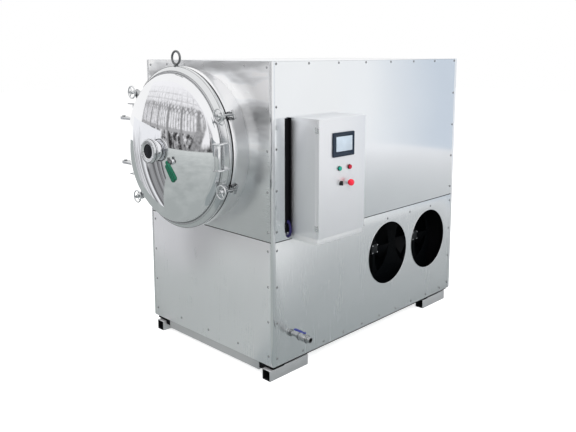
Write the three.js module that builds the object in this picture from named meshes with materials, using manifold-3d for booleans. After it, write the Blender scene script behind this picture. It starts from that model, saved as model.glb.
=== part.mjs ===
// Freeze dryer: a steel cabinet with a horizontal vacuum chamber, a hinged dished door,
// a control box on its right side and a refrigeration compartment below.
// Millimetres, +Z up. The front is -Y, the control box is on +X, and the feet stand on Z = 0.
import * as THREE from 'three';
import { toCreasedNormals } from 'three/addons/utils/BufferGeometryUtils.js';
import ManifoldModule from 'manifold-3d';

const wasm = await ManifoldModule();
wasm.setup();

// ---------------------------------------------------------------- driving dimensions
const gap = 0.3; // clearance between neighbouring pieces
const sheet = 2; // panel and box sheet thickness
const roundSides = 38; // facets on the large circles
const midSides = 16; // facets on hand-sized rounds
const smallSides = 12; // facets on bolts, stems and bores

// Cabinet
const cabinetWidth = 1250;
const cabinetDepth = 2000;
const panelBottom = 90;
const seamHeight = 871; // joint between the lower and upper panels, on which the upper part stands
const seamGap = 3;
const postShow = 22; // width of corner post left in sight beside each panel
const postLeg = 44;
const postWall = 4;
const deckThickness = 4;
const footWidth = 68;
const footHeight = 70;
const footWall = 4;
const footInsets = [95, 46]; // centre of the left and right feet, from the cabinet sides
const footFront = 340; // length of a front foot
const footRear = 310;
const footOverhang = 19; // front feet reach past the cabinet
const footRearInset = 50;
const beamInsets = [175, 138]; // ends of the cross beams, from the cabinet sides
const beamBottom = 31;
const beamDepth = 40;

// Chamber, from its own axis; Y counts from the front panel
const vesselX = -50;
const chamberBelow = 47; // shell to the panel joint
const chamberAbove = 66; // shell to the top of the cabinet
const shellOuter = 478;
const shellWall = 8;
const flangeRim = 30; // flange height above the shell
const flangeFront = -148;
const flangeThickness = 32;
const shellBack = 1080;
const headBackDepth = 216;
const ductRadius = 75;
const ductWall = 5;
const ductEnd = 1418;
const saddleThickness = 12;
const saddlesY = [200, 900];
const saddleHalfWidth = 400;

// Door
const sealThickness = 10;
const ringDepth = 48.5;
const ringChamfer = 25;
const seatWidth = 16; // step in the ring that holds the dished head
const seatDepth = 17;
const headWall = 6;
const headRise = 140;
const knuckleRadius = 55;
const hingeReach = 167; // pin centre, outside the flange
const hingeY = -135;
const hingeLevels = [142, -170]; // underside of each door arm
const armThickness = 10;
const armHalfWidth = 24;
const pinRadius = 8;
const clampAngles = [26.5, -23, 141, 223]; // degrees round the axis from +X
const clampReach = 22; // trunnion centre, outside the flange
const clampPivotY = -196;
const crossbarY = -118;
const boltRadius = 7;
const trunnionRadius = 5;
const wheelY = -232;
const wheelRadius = 39;
const rimRadius = 5;
const neckRadius = 52;
const neckWall = 6;
const neckLength = 37; // from the crown to the glass seat
const glassFlange = 74;
const neckCollar = 60;
const sightRadius = 44; // clear opening of the sight port
const glassThickness = 8.2;
const gripX = 500;
const gripY = -262;
const gripRadius = 20;
const gripHalfLength = 72;
const eyeRadius = 40;
const ventBoss = 7;
const ventX = 152;
const ventZ = -56;
const ventLeverAngle = -50; // degrees from +X, seen from the front
const ventLeverLength = 128;

// Shelves
const shelfHalfWidth = 316;
const shelfFront = -100;
const shelfBack = 950;
const shelfThickness = 18;
const shelfLevels = [-190, -70, 50, 170];
const rackTop = 226;
const rackWall = 5;

// Control box
const spacerDepth = 22;
const boxDepth = 206;
const boxDoorDepth = 16;
const boxSetback = 134; // from the front of the cabinet
const boxWidth = 420;
const boxHeight = 699;
const boxLift = 44; // above the panel joint
const trayHeight = 35.7;
const boxKnuckle = 4.5;
const boxHingeInset = 62; // hinge centre from the top edge; the lower one matches it
const panelSetIn = 210; // operator panel centre, from the front edge of the box
const panelDrop = 158; // operator panel centre, below the top of the box
const panelSize = [194, 144];
const panelProud = 8;
const screenSize = [146, 88];
const screenOffset = [4, 3];
const collarRadius = 15;
const stemRadius = 11;
const buttonDrop = 300; // rows of controls, below the top of the box
const switchDrop = 390;
const greenSetIn = 177;
const redSetIn = 269;
const selectorSetIn = 187;
const stopSetIn = 253;

// Lower compartment
const fanHole = 225;
const fansFromBack = [852, 340];
const fanDrop = 303; // fan axis, below the panel joint
const fanSetback = 125; // motor plate, behind the outer face of the panel
const fanBlades = 5;
const fanRadius = 200;
const hubRadius = 60;
const motorRadius = 46.5;
const drainSetback = 145;
const drainLift = 185; // above the bottom of the panels
const pipeRadius = 13.5;
const valveReach = 123; // ball centre, outside the panel
const compressorRadius = 150;
const compressorHeight = 420;

// ---------------------------------------------------------------- derived dimensions
const halfWidth = cabinetWidth / 2;
const halfDepth = cabinetDepth / 2;
const postStep = sheet + gap;
const vesselZ = seamHeight + chamberBelow + shellOuter;
const cabinetTop = vesselZ + shellOuter + chamberAbove;
const footCentres = [-halfWidth + footInsets[0], halfWidth - footInsets[1]];
const beamEnds = [-halfWidth + beamInsets[0], halfWidth - beamInsets[1]];
const inset = postStep + postWall + gap; // inner pieces clear the corner posts
const panelX = halfWidth - postShow - gap;
const panelY = halfDepth - postShow - gap;
const postTop = cabinetTop - sheet - gap;
const floorTop = panelBottom + deckThickness;
const deckBottom = seamHeight - deckThickness / 2;
const deckTop = deckBottom + deckThickness;
const shellInner = shellOuter - shellWall;
const flangeOuter = shellOuter + flangeRim;
const ringBack = flangeFront - sealThickness - gap;
const ringFront = ringBack - ringDepth;
const ringInner = shellInner - 18;
const headRadius = ringInner + seatWidth;
const headBack = ringFront + seatDepth;
const skirtFront = ringFront + 2; // end of the head's straight skirt
const headApex = skirtFront - headRise;
const glassSeat = headApex - neckLength;
const hingeX = -(flangeOuter + hingeReach);
const clampRadius = flangeOuter + clampReach;
const boxFrontY = -halfDepth + boxSetback;
const boxBackY = boxFrontY + boxWidth;
const boxBottom = seamHeight + boxLift;
const boxTop = boxBottom + boxHeight;
const panelCentre = [boxFrontY + panelSetIn, boxTop - panelDrop];
const greenAt = [boxFrontY + greenSetIn, boxTop - buttonDrop];
const redAt = [boxFrontY + redSetIn, boxTop - buttonDrop];
const selectorAt = [boxFrontY + selectorSetIn, boxTop - switchDrop];
const stopAt = [boxFrontY + stopSetIn, boxTop - switchDrop];
const boxBackX = halfWidth + spacerDepth;
const boxOpenX = boxBackX + boxDepth;
const boxDoorX = boxOpenX + gap;
const boxFaceX = boxDoorX + boxDoorDepth;
const boxHingeX = boxOpenX;
const boxHingeY = boxFrontY - boxKnuckle - 0.5;
const boxHingeLevels = [boxBottom + boxHingeInset, boxTop - boxHingeInset];
const fanCentresY = fansFromBack.map((reach) => halfDepth - reach);
const fanZ = seamHeight - fanDrop;
const drainY = -halfDepth + drainSetback;
const drainZ = panelBottom + drainLift;
const fanPlateX = halfWidth - fanSetback;
const valveX = halfWidth + valveReach;

// ---------------------------------------------------------------- solid helpers
const radians = THREE.MathUtils.degToRad;

// Merges equal corners, drops empty faces and turns the faces outwards.
function toManifold(geometry) {
  const source = geometry.getAttribute('position');
  const order = geometry.index ? Array.from(geometry.index.array) : [...Array(source.count).keys()];
  const seen = new Map();
  const corners = [];
  const merged = order.map((at) => {
    const xyz = [source.getX(at), source.getY(at), source.getZ(at)].map((v) => Math.round(v * 2e4) / 2e4 + 0);
    const key = geometry.userData.joined ? at : xyz.join(' ');
    if (!seen.has(key)) {
      seen.set(key, seen.size);
      corners.push(xyz);
    }
    return seen.get(key);
  });
  const faces = [];
  let volume = 0;
  for (let i = 0; i < merged.length; i += 3) {
    const face = merged.slice(i, i + 3);
    if (new Set(face).size < 3) continue;
    const [a, b, c] = face.map((n) => new THREE.Vector3(...corners[n]));
    volume += a.dot(b.cross(c));
    faces.push(face);
  }
  const triVerts = faces.flatMap(([a, b, c]) => (volume > 0 ? [a, b, c] : [a, c, b]));
  return new wasm.Manifold(
    new wasm.Mesh({
      numProp: 3,
      vertProperties: new Float32Array(corners.flat()),
      triVerts: new Uint32Array(triVerts),
    }),
  );
}

function toGeometry(manifold) {
  const { vertProperties, triVerts } = manifold.getMesh();
  const geometry = new THREE.BufferGeometry();
  geometry.setAttribute('position', new THREE.BufferAttribute(new Float32Array(vertProperties), 3));
  geometry.setIndex(new THREE.BufferAttribute(new Uint32Array(triVerts), 1));
  geometry.userData.joined = true;
  return geometry;
}

function join(...parts) {
  return toGeometry(parts.map(toManifold).reduce((whole, part) => whole.add(part)));
}

function cut(body, ...tools) {
  return toGeometry(tools.map(toManifold).reduce((rest, tool) => rest.subtract(tool), toManifold(body)));
}

function block(x0, x1, y0, y1, z0, z1) {
  const box = new THREE.BoxGeometry(x1 - x0, y1 - y0, z1 - z0);
  return box.translate((x0 + x1) / 2, (y0 + y1) / 2, (z0 + z1) / 2);
}

function rod(radius, from, to, sides = smallSides) {
  const start = new THREE.Vector3(...from);
  const run = new THREE.Vector3(...to).sub(start);
  const bar = new THREE.CylinderGeometry(radius, radius, run.length(), sides);
  bar.translate(0, run.length() / 2, 0);
  bar.applyQuaternion(new THREE.Quaternion().setFromUnitVectors(new THREE.Vector3(0, 1, 0), run.normalize()));
  return bar.translate(...from);
}

const rodX = (radius, x0, x1, y, z, sides) => rod(radius, [x0, y, z], [x1, y, z], sides);
const rodY = (radius, y0, y1, x, z, sides) => rod(radius, [x, y0, z], [x, y1, z], sides);
const rodZ = (radius, z0, z1, x, y, sides) => rod(radius, [x, y, z0], [x, y, z1], sides);

// Turns a profile of [radius, y] points about the Y axis.
function turned(profile, sides = roundSides) {
  const points = profile.map(([r, y]) => new THREE.Vector2(r, y));
  const onAxis = profile[0][0] === 0 && profile.at(-1)[0] === 0;
  if (!onAxis) points.push(points[0].clone());
  return new THREE.LatheGeometry(points, sides);
}

function circle(x, y, radius, sides) {
  return Array.from({ length: sides }, (_, i) => {
    const a = (i / sides) * 2 * Math.PI;
    return new THREE.Vector2(x + radius * Math.cos(a), y + radius * Math.sin(a));
  });
}

// A flat outline of [x, y] points from z0 to z1, with round holes [x, y, radius, sides].
function plate(outline, z0, z1, holes = []) {
  const shape = new THREE.Shape(outline.map(([x, y]) => new THREE.Vector2(x, y)));
  shape.holes = holes.map((hole) => new THREE.Path(circle(...hole)));
  return new THREE.ExtrudeGeometry(shape, { depth: z1 - z0, bevelEnabled: false }).translate(0, 0, z0);
}

// A sheet facing along Y (outline is X, Z) or along X (outline is Y, Z).
const facingY = (outline, y, thickness, holes) =>
  plate(outline, 0, thickness, holes).rotateX(Math.PI / 2).translate(0, y + thickness, 0);
const facingX = (outline, x, thickness, holes) =>
  plate(outline, 0, thickness, holes).rotateX(Math.PI / 2).rotateZ(Math.PI / 2).translate(x, 0, 0);

// Radius of a faceted bore whose flats still clear a round of this radius.
const clearOf = (radius, sides) => (radius + gap / 2) / Math.cos(Math.PI / sides);

const rectangle = (u0, u1, v0, v1) => [[u0, v0], [u1, v0], [u1, v1], [u0, v1]];
const roundTheAxis = (geometry, angle) => geometry.rotateY(-radians(angle));

function arc(cx, cy, radius, from, to, steps) {
  return Array.from({ length: steps + 1 }, (_, i) => {
    const a = radians(from + ((to - from) * i) / steps);
    return [cx + radius * Math.cos(a), cy + radius * Math.sin(a)];
  });
}

// ---------------------------------------------------------------- finishes and assembly
const finishes = {
  frontSteel: { color: 0xb4b9bd, roughness: 0.35, metalness: 0.85 },
  sideSteel: { color: 0xe6e9ec, roughness: 0.35, metalness: 0.7 },
  edgeSteel: { color: 0xd5d8da, roughness: 0.15, metalness: 1 },
  brushed: { color: 0xc2c5c8, roughness: 0.28, metalness: 0.95 },
  polished: { color: 0xdde0e2, roughness: 0.06, metalness: 1 },
  darkSteel: { color: 0x4b4e50, roughness: 0.5, metalness: 0.7 },
  black: { color: 0x111213, roughness: 0.6, metalness: 0.1 },
  rubber: { color: 0x151515, roughness: 0.75, metalness: 0 },
  darkGlass: { color: 0x0c1218, roughness: 0.05, metalness: 0 },
  bezel: { color: 0x1b2a38, roughness: 0.4, metalness: 0 },
  screen: { color: 0xaabdcf, roughness: 0.2, metalness: 0 },
  green: { color: 0x128a78, roughness: 0.3, metalness: 0 },
  leverGreen: { color: 0x0a4f3c, roughness: 0.35, metalness: 0 },
  red: { color: 0xa30f2c, roughness: 0.3, metalness: 0 },
  stopRed: { color: 0xd0203a, roughness: 0.35, metalness: 0 },
  blue: { color: 0x1c2170, roughness: 0.5, metalness: 0 },
  castGrey: { color: 0x6d7173, roughness: 0.6, metalness: 0.4 },
  aluminium: { color: 0x9fa3a6, roughness: 0.45, metalness: 0.8 },
};

const machine = new THREE.Group();
const vessel = new THREE.Group(); // on the chamber axis, in the plane of the front panel
vessel.position.set(vesselX, -halfDepth, vesselZ);
machine.add(vessel);

function add(name, geometry, finish, parent = machine) {
  const closed = toGeometry(toManifold(geometry));
  const mesh = new THREE.Mesh(toCreasedNormals(closed, 0.5), new THREE.MeshStandardMaterial(finishes[finish]));
  mesh.name = name;
  parent.add(mesh);
}

// ---------------------------------------------------------------- base and cabinet
function footTube(x, y0, y1) {
  const half = footWidth / 2;
  const tube = block(x - half, x + half, y0, y1, 0, footHeight);
  const core = half - footWall;
  return cut(tube, block(x - core, x + core, y0 - 1, y1 + 1, footWall, footHeight - footWall));
}

function baseFrame() {
  const [edgeX, edgeY] = [halfWidth - inset, halfDepth - inset];
  const parts = [block(-edgeX, edgeX, -edgeY, edgeY, panelBottom, floorTop)];
  parts.push(block(...beamEnds, -edgeY, -edgeY + beamDepth, beamBottom, panelBottom + 1));
  parts.push(block(...beamEnds, edgeY - beamDepth, edgeY, beamBottom, panelBottom + 1));
  const frontY = -halfDepth - footOverhang;
  const rearY = halfDepth - footRearInset;
  for (const x of footCentres) {
    for (const [y0, y1] of [[frontY, frontY + footFront], [rearY - footRear, rearY]]) {
      const middle = (y0 + y1) / 2;
      parts.push(footTube(x, y0, y1));
      parts.push(block(x - 20, x + 20, middle - 100, middle + 100, footHeight - 1, panelBottom + 1));
    }
  }
  return join(...parts);
}

// An angle section with a rebate on each leg, so that the panels lie flush with its corner.
function cornerPost(sideX, sideY) {
  const back = postStep + postWall;
  const section = [
    [2, 0], [postShow, 0], [postShow, postStep], [postLeg, postStep], [postLeg, back], [back, back],
    [back, postLeg], [postStep, postLeg], [postStep, postShow], [0, postShow], [0, 2],
  ];
  const outline = section.map(([u, v]) => [sideX * (halfWidth - u), sideY * (halfDepth - v)]);
  return plate(outline, panelBottom, postTop);
}

function addCabinet() {
  add('base_frame', baseFrame(), 'darkSteel');
  for (const [name, x, y] of [['front_right', 1, -1], ['front_left', -1, -1], ['rear_right', 1, 1], ['rear_left', -1, 1]]) {
    add(`corner_post_${name}`, cornerPost(x, y), 'edgeSteel');
  }
  const lower = [panelBottom, seamHeight - seamGap / 2];
  const upper = [seamHeight + seamGap / 2, postTop];
  const chamberHole = [vesselX, vesselZ, shellOuter + 2.5, roundSides];
  const fanHoles = fanCentresY.map((y) => [y, fanZ, fanHole, 28]);
  const pipeHole = [drainY, drainZ, pipeRadius + 0.5, smallSides];
  const [rightX, leftX, rearY] = [halfWidth - sheet, -halfWidth, halfDepth - sheet];
  add('front_panel_upper', facingY(rectangle(-panelX, panelX, ...upper), -halfDepth, sheet, [chamberHole]), 'frontSteel');
  add('front_panel_lower', facingY(rectangle(-panelX, panelX, ...lower), -halfDepth, sheet), 'frontSteel');
  add('right_panel_upper', facingX(rectangle(-panelY, panelY, ...upper), rightX, sheet), 'sideSteel');
  add('right_panel_lower', facingX(rectangle(-panelY, panelY, ...lower), rightX, sheet, [...fanHoles, pipeHole]), 'sideSteel');
  add('left_panel_upper', facingX(rectangle(-panelY, panelY, ...upper), leftX, sheet), 'sideSteel');
  add('left_panel_lower', facingX(rectangle(-panelY, panelY, ...lower), leftX, sheet), 'sideSteel');
  add('rear_panel', facingY(rectangle(-panelX, panelX, panelBottom, postTop), rearY, sheet), 'sideSteel');
  add('top_cover', block(-halfWidth, halfWidth, -halfDepth, halfDepth, cabinetTop - sheet, cabinetTop), 'sideSteel');
}

// The deck carries the chamber on two saddles cut to the round of the shell.
function middleDeck() {
  const [edgeX, edgeY] = [halfWidth - inset, halfDepth - inset];
  const parts = [block(-edgeX, edgeX, -edgeY, edgeY, deckBottom, deckTop)];
  const saddleTop = vesselZ - Math.sqrt(shellOuter ** 2 - saddleHalfWidth ** 2) + 70;
  for (const y of saddlesY) {
    const start = y - halfDepth;
    parts.push(block(vesselX - saddleHalfWidth, vesselX + saddleHalfWidth, start, start + saddleThickness, deckTop - 1, saddleTop));
  }
  const seat = shellOuter + gap;
  const shell = turned([[0, 0], [seat, 0], [seat, shellBack], [0, shellBack]]);
  return cut(join(...parts), shell.translate(vesselX, -halfDepth, vesselZ));
}

// ---------------------------------------------------------------- vacuum chamber
// Fixed half of one hinge: arm, gusset, pin and the pin's head above the door arm.
function hingeBracket(level) {
  const top = level - 0.4;
  const low = top - armThickness;
  const outward = level > 0 ? 1 : -1;
  const arm = [
    [-(shellInner - 8), flangeFront + 2], [-flangeOuter, flangeFront + 2], [-flangeOuter - 70, flangeFront - 4],
    ...arc(hingeX, hingeY, armHalfWidth, 270, 90, 8), [-flangeOuter - 100, -100], [-(shellInner - 8), -100],
  ];
  const end = 248 * outward;
  const root = outward > 0 ? low : top;
  const [x0, x1] = [-flangeOuter - 98, -(shellInner - 90)];
  const gusset = block(x0, x1, -108, -100, Math.min(root, end), Math.max(root, end));
  const rib = block(x0, x1, flangeFront + 2, -100, Math.min(end, end - 8 * outward), Math.max(end, end - 8 * outward));
  const headLow = level + armThickness + 0.4;
  const pin = rodZ(pinRadius, low + 1, headLow + 1, hingeX, hingeY);
  return join(plate(arm, low, top), gusset, rib, pin, rodZ(13, headLow, headLow + 6, hingeX, hingeY));
}

// Two hooks on the flange rim; the crossbar of a clamp bolt drops behind them.
function hookLugs(angle) {
  const [root, rim] = [flangeOuter - 13, flangeOuter + 1];
  const back = flangeFront + 46;
  const side = [
    [root, flangeFront + 0.5], [rim + 11.5, flangeFront + 0.5], [rim + 11.5, flangeFront + 20], [rim, flangeFront + 20],
    [rim, back - 7], [rim + 9, back - 7], [rim + 9, back], [root, back],
  ];
  return [[10, 24], [-24, -10]].map(([z0, z1]) => roundTheAxis(plate(side, z0, z1), angle));
}

function chamber() {
  const back = shellBack;
  const deep = headBackDepth;
  const wall = turned([
    [0, back + deep], [0.5 * shellOuter, back + 0.9 * deep], [0.87 * shellOuter, back + 0.6 * deep], [shellOuter, back],
    [shellOuter, flangeFront + flangeThickness], [flangeOuter, flangeFront + flangeThickness],
    [flangeOuter, flangeFront], [shellInner, flangeFront], [shellInner, back],
    [0.72 * shellInner, back + 0.73 * deep], [0, back + deep - shellWall],
  ]);
  const hollow = shellInner + shellWall / 2;
  const inside = turned([[0, flangeFront - 400], [hollow, flangeFront - 400], [hollow, back], [0, back]]);
  const brackets = hingeLevels.map((level) => cut(hingeBracket(level), inside));
  const duct = rodY(ductRadius, back + deep - 30, ductEnd, 0, 0);
  const lip = rodY(ductRadius + 20, ductEnd - 14, ductEnd, 0, 0);
  const bore = rodY(ductRadius - ductWall, back, ductEnd + 10, 0, 0);
  return cut(join(wall, ...brackets, ...clampAngles.flatMap(hookLugs), duct, lip), bore);
}

function shelfRack() {
  const outer = shelfHalfWidth + 2 + rackWall;
  const foot = -Math.sqrt((shellInner * Math.cos(Math.PI / roundSides) - gap) ** 2 - outer ** 2);
  const ends = [shelfFront + 4, shelfBack - 4];
  const parts = [];
  for (const side of [-1, 1]) {
    const sheetX = side > 0 ? outer - rackWall : -outer;
    parts.push(block(sheetX, sheetX + rackWall, ...ends, foot, rackTop));
    for (const level of shelfLevels) {
      const ledge = [side * (shelfHalfWidth - 14), side * (outer - 1)].sort((a, b) => a - b);
      parts.push(block(...ledge, ...ends, level - gap - 4, level - gap));
    }
  }
  for (const y of [ends[0] + 6, ends[1] - 36]) {
    parts.push(block(1 - outer, outer - 1, y, y + 30, foot + 10, foot + 40));
    parts.push(block(1 - outer, outer - 1, y, y + 30, rackTop - 20, rackTop - 4));
  }
  return join(...parts);
}

function seal() {
  const [outer, inner] = [flangeOuter - 2, shellOuter];
  const [back, front] = [flangeFront - gap, ringBack + gap];
  return turned([[outer, back], [outer, front], [inner, front], [inner, back]]);
}

// Cold trap behind the chamber: a hollow drum on legs, open to the chamber through its neck.
function coldTrap() {
  const bore = ductRadius - ductWall;
  const mouth = ductEnd + gap;
  const [radius, wall] = [260, 6];
  const [front, back] = [mouth + 72, mouth + 442];
  const drum = turned(
    [
      [ductRadius + 20, mouth], [ductRadius + 20, mouth + 15.7], [ductRadius, mouth + 15.7], [ductRadius, front],
      [radius - 110, front + 10], [radius, front + 70], [radius, back - 60], [radius - 30, back - 20],
      [0, back], [0, back - wall], [radius - 32, back - 25], [radius - wall, back - 62], [radius - wall, front + 72],
      [radius - 112, front + 17], [bore, front + 5], [bore, mouth],
    ],
    smallSides,
  );
  const floor = deckTop + gap - vesselZ;
  const core = rodY(radius - wall / 2, front, back, 0, 0);
  const legs = [front + 70, back - 82].map((y) => cut(block(-180, 180, y, y + 12, floor, -180), core));
  return join(drum, ...legs);
}

// ---------------------------------------------------------------- door
function hingeArm(level) {
  const outline = [
    [-(shellInner - 15), skirtFront + 18], [-flangeOuter, skirtFront + 14], [-flangeOuter - 122, hingeY - 33],
    ...arc(hingeX, hingeY, armHalfWidth, 270, 90, 8),
    [-flangeOuter - 142, hingeY + 21], [-flangeOuter - 72, hingeY - 5], [-flangeOuter - 2, ringBack - 1.5],
    [-(shellInner - 15), ringBack - 1.5],
  ];
  return plate(outline, level, level + armThickness, [[hingeX, hingeY, pinRadius + 0.4, smallSides]]);
}

function clampLugs(angle) {
  const side = [
    [headRadius + 8, ringFront + 4], [headRadius + 22, ringFront - 5], [clampRadius + 10, clampPivotY - 11],
    [clampRadius + 10, clampPivotY + 11], [flangeOuter - 2, ringBack - 14], [flangeOuter - 13, ringBack - 7],
  ];
  const eye = [[clampRadius, clampPivotY, clearOf(trunnionRadius, 8), 8]];
  return [[9.5, 19], [-19, -9.5]].map(([z0, z1]) => roundTheAxis(plate(side, z0, z1, eye), angle));
}

function gripPlate(z) {
  const outline = [
    [headRadius + 4, ringBack - 12], [gripX - 29, gripY - 8], [gripX - 14, gripY - 23], [gripX + 14, gripY - 23],
    [gripX + 25, gripY - 10], [gripX + 18, clampPivotY + 6], [flangeOuter - 6, ringBack - 16], [flangeOuter - 8, ringBack - 12],
  ];
  return plate(outline, z, z + 8);
}

function doorRing() {
  const band = turned([
    [flangeOuter, ringBack], [flangeOuter, ringFront + ringChamfer], [headRadius + 14, ringFront], [headRadius, ringFront],
    [headRadius, headBack], [ringInner, headBack], [ringInner, ringBack],
  ]);
  const grips = [gripPlate(gripHalfLength), gripPlate(-gripHalfLength - 8)];
  return join(band, ...hingeLevels.map(hingeArm), ...clampAngles.flatMap(clampLugs), ...grips);
}

// One face of the dished head, from skirt to apex: a small knuckle arc, then a wide crown arc.
function headFace(depth, knuckleSteps, crownSteps) {
  const reach = headRadius - gap - knuckleRadius;
  const crown = (reach ** 2 + headRise ** 2 - knuckleRadius ** 2) / (2 * (headRise - knuckleRadius));
  const centreY = headApex + crown;
  const meet = Math.atan2(reach, centreY - skirtFront);
  const knuckle = arc(reach, skirtFront, knuckleRadius - depth, 0, (meet * 180) / Math.PI - 90, knuckleSteps);
  const crownArc = Array.from({ length: crownSteps }, (_, i) => {
    const a = meet * (1 - (i + 1) / crownSteps);
    return [(crown - depth) * Math.sin(a), centreY - (crown - depth) * Math.cos(a)];
  });
  return [...knuckle, ...crownArc];
}

function headSurface(radius) {
  const face = headFace(0, 8, 40);
  return face.find(([r]) => r <= radius)[1];
}

function doorHead() {
  const edge = headRadius - gap;
  const skin = turned([
    ...headFace(headWall, 2, 2).reverse(), [edge - headWall, headBack - gap], [edge, headBack - gap], ...headFace(0, 3, 3),
  ]);
  const neck = rodY(neckRadius, glassSeat, headApex + headWall, 0, 0, midSides);
  const flange = rodY(glassFlange, glassSeat, glassSeat + 8, 0, 0, midSides);
  const collar = rodY(neckCollar, glassSeat + 15, headApex + headWall, 0, 0, midSides);
  const ventAt = headSurface(Math.hypot(ventX, ventZ));
  const boss = rodY(19, ventAt - ventBoss, ventAt + 3, ventX, ventZ);
  const bore = rodY(neckRadius - neckWall, glassSeat - 10, headApex + 40, 0, 0, midSides);
  return cut(join(skin, neck, flange, collar, boss), bore);
}

function sightRing() {
  const back = glassSeat - gap;
  const front = back - 17.7;
  const seat = back - glassThickness - gap;
  const rebate = glassFlange - 9;
  const body = turned(
    [[glassFlange, back], [glassFlange, front], [sightRadius, front], [sightRadius, seat], [rebate, seat], [rebate, back]],
    midSides,
  );
  const heads = Array.from({ length: 6 }, (_, i) => {
    const a = radians(30 + 60 * i);
    const r = (glassFlange + sightRadius) / 2;
    return rodY(5, front - 5, front + 1, r * Math.cos(a), r * Math.sin(a), 6);
  });
  return join(body, ...heads);
}

function sightGlass() {
  const back = glassSeat - gap;
  return rodY(glassFlange - 9 - gap - 0.4, back - glassThickness, back, 0, 0, midSides);
}

function doorGrip() {
  const end = gripHalfLength - gap;
  return cut(rodZ(gripRadius, -end, end, gripX, gripY, midSides), rodZ(gripRadius - 3, -end - 1, end + 1, gripX, gripY, midSides));
}

function liftingEye() {
  const seat = flangeOuter + gap;
  const y = (ringBack + ringFront + ringChamfer) / 2;
  const centre = seat + 12 + eyeRadius;
  const loop = new THREE.TorusGeometry(eyeRadius, 7, 6, midSides).rotateX(Math.PI / 2).translate(0, y, centre);
  return join(loop, rodZ(11, seat, seat + 12, 0, y));
}

const ventFace = headSurface(Math.hypot(ventX, ventZ)) - ventBoss - gap;

function ventValve() {
  const hex = rodY(17, ventFace - 5, ventFace, ventX, ventZ, 6);
  const body = rodY(16, ventFace - 20, ventFace - 4, ventX, ventZ);
  const outletY = ventFace - 12;
  const outlet = rodZ(8, ventZ, ventZ + 30, ventX, outletY, 8);
  const stem = rodY(5, ventFace - 24, ventFace - 19, ventX, ventZ, 8);
  return cut(join(hex, body, outlet, stem), rodZ(5, ventZ + 10, ventZ + 40, ventX, outletY, 8));
}

function ventLever() {
  const back = ventFace - 24 - gap;
  const hub = rodY(11, back - 6, back, 0, 0);
  const blade = block(4, 30, back - 4.5, back - 1.5, -6, 6);
  const sleeve = block(18, ventLeverLength, back - 15, back + 3, -15, 15);
  const lever = roundTheAxis(join(hub, blade, sleeve), ventLeverAngle);
  return lever.translate(ventX, 0, ventZ);
}

// T-bolt on a trunnion; x is radial from the chamber axis.
function clampBolt() {
  const shaft = rodY(boltRadius, wheelY - 20, crossbarY, clampRadius, 0, 8);
  const crossbar = rodZ(boltRadius, -28, 28, clampRadius, crossbarY, 8);
  const trunnion = rodZ(trunnionRadius, -19, 19, clampRadius, clampPivotY, 8);
  const washer = rodY(12, wheelY + 10 + gap, wheelY + 14, clampRadius, 0, 8);
  return join(shaft, crossbar, trunnion, washer);
}

function clampWheel() {
  const hub = rodY(13, wheelY - 9, wheelY + 10, 0, 0);
  const rim = new THREE.TorusGeometry(wheelRadius, rimRadius, 5, 14).rotateX(Math.PI / 2).translate(0, wheelY, 0);
  const spokes = [90, 210, 330].map((angle) =>
    roundTheAxis(rod(3.5, [9, wheelY, 0], [wheelRadius, wheelY, 0], 5), angle),
  );
  const bore = rodY(clearOf(boltRadius, 8), wheelY - 20, wheelY + 20, 0, 0, 8);
  return cut(join(hub, rim, ...spokes), bore).translate(clampRadius, 0, 0);
}

function addChamberAndDoor() {
  add('chamber', chamber(), 'brushed', vessel);
  add('gasket', seal(), 'rubber', vessel);
  add('shelf_rack', shelfRack(), 'brushed', vessel);
  shelfLevels.forEach((level, i) => {
    const slab = block(-shelfHalfWidth, shelfHalfWidth, shelfFront, shelfBack, level, level + shelfThickness);
    add(`shelf_${i + 1}`, slab, 'brushed', vessel);
  });
  add('cold_trap', coldTrap(), 'brushed', vessel);
  add('door_ring', doorRing(), 'brushed', vessel);
  add('door_dome', doorHead(), 'polished', vessel);
  add('sight_ring', sightRing(), 'brushed', vessel);
  add('sight_glass', sightGlass(), 'darkGlass', vessel);
  add('door_grip', doorGrip(), 'polished', vessel);
  add('lifting_eye', liftingEye(), 'darkSteel', vessel);
  add('vent_valve', ventValve(), 'polished', vessel);
  add('vent_lever', ventLever(), 'leverGreen', vessel);
  clampAngles.forEach((angle, i) => {
    const clamp = new THREE.Group();
    clamp.rotation.y = -radians(angle);
    vessel.add(clamp);
    add(`clamp_bolt_${i + 1}`, clampBolt(), 'polished', clamp);
    add(`clamp_wheel_${i + 1}`, clampWheel(), 'polished', clamp);
  });
}

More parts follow.
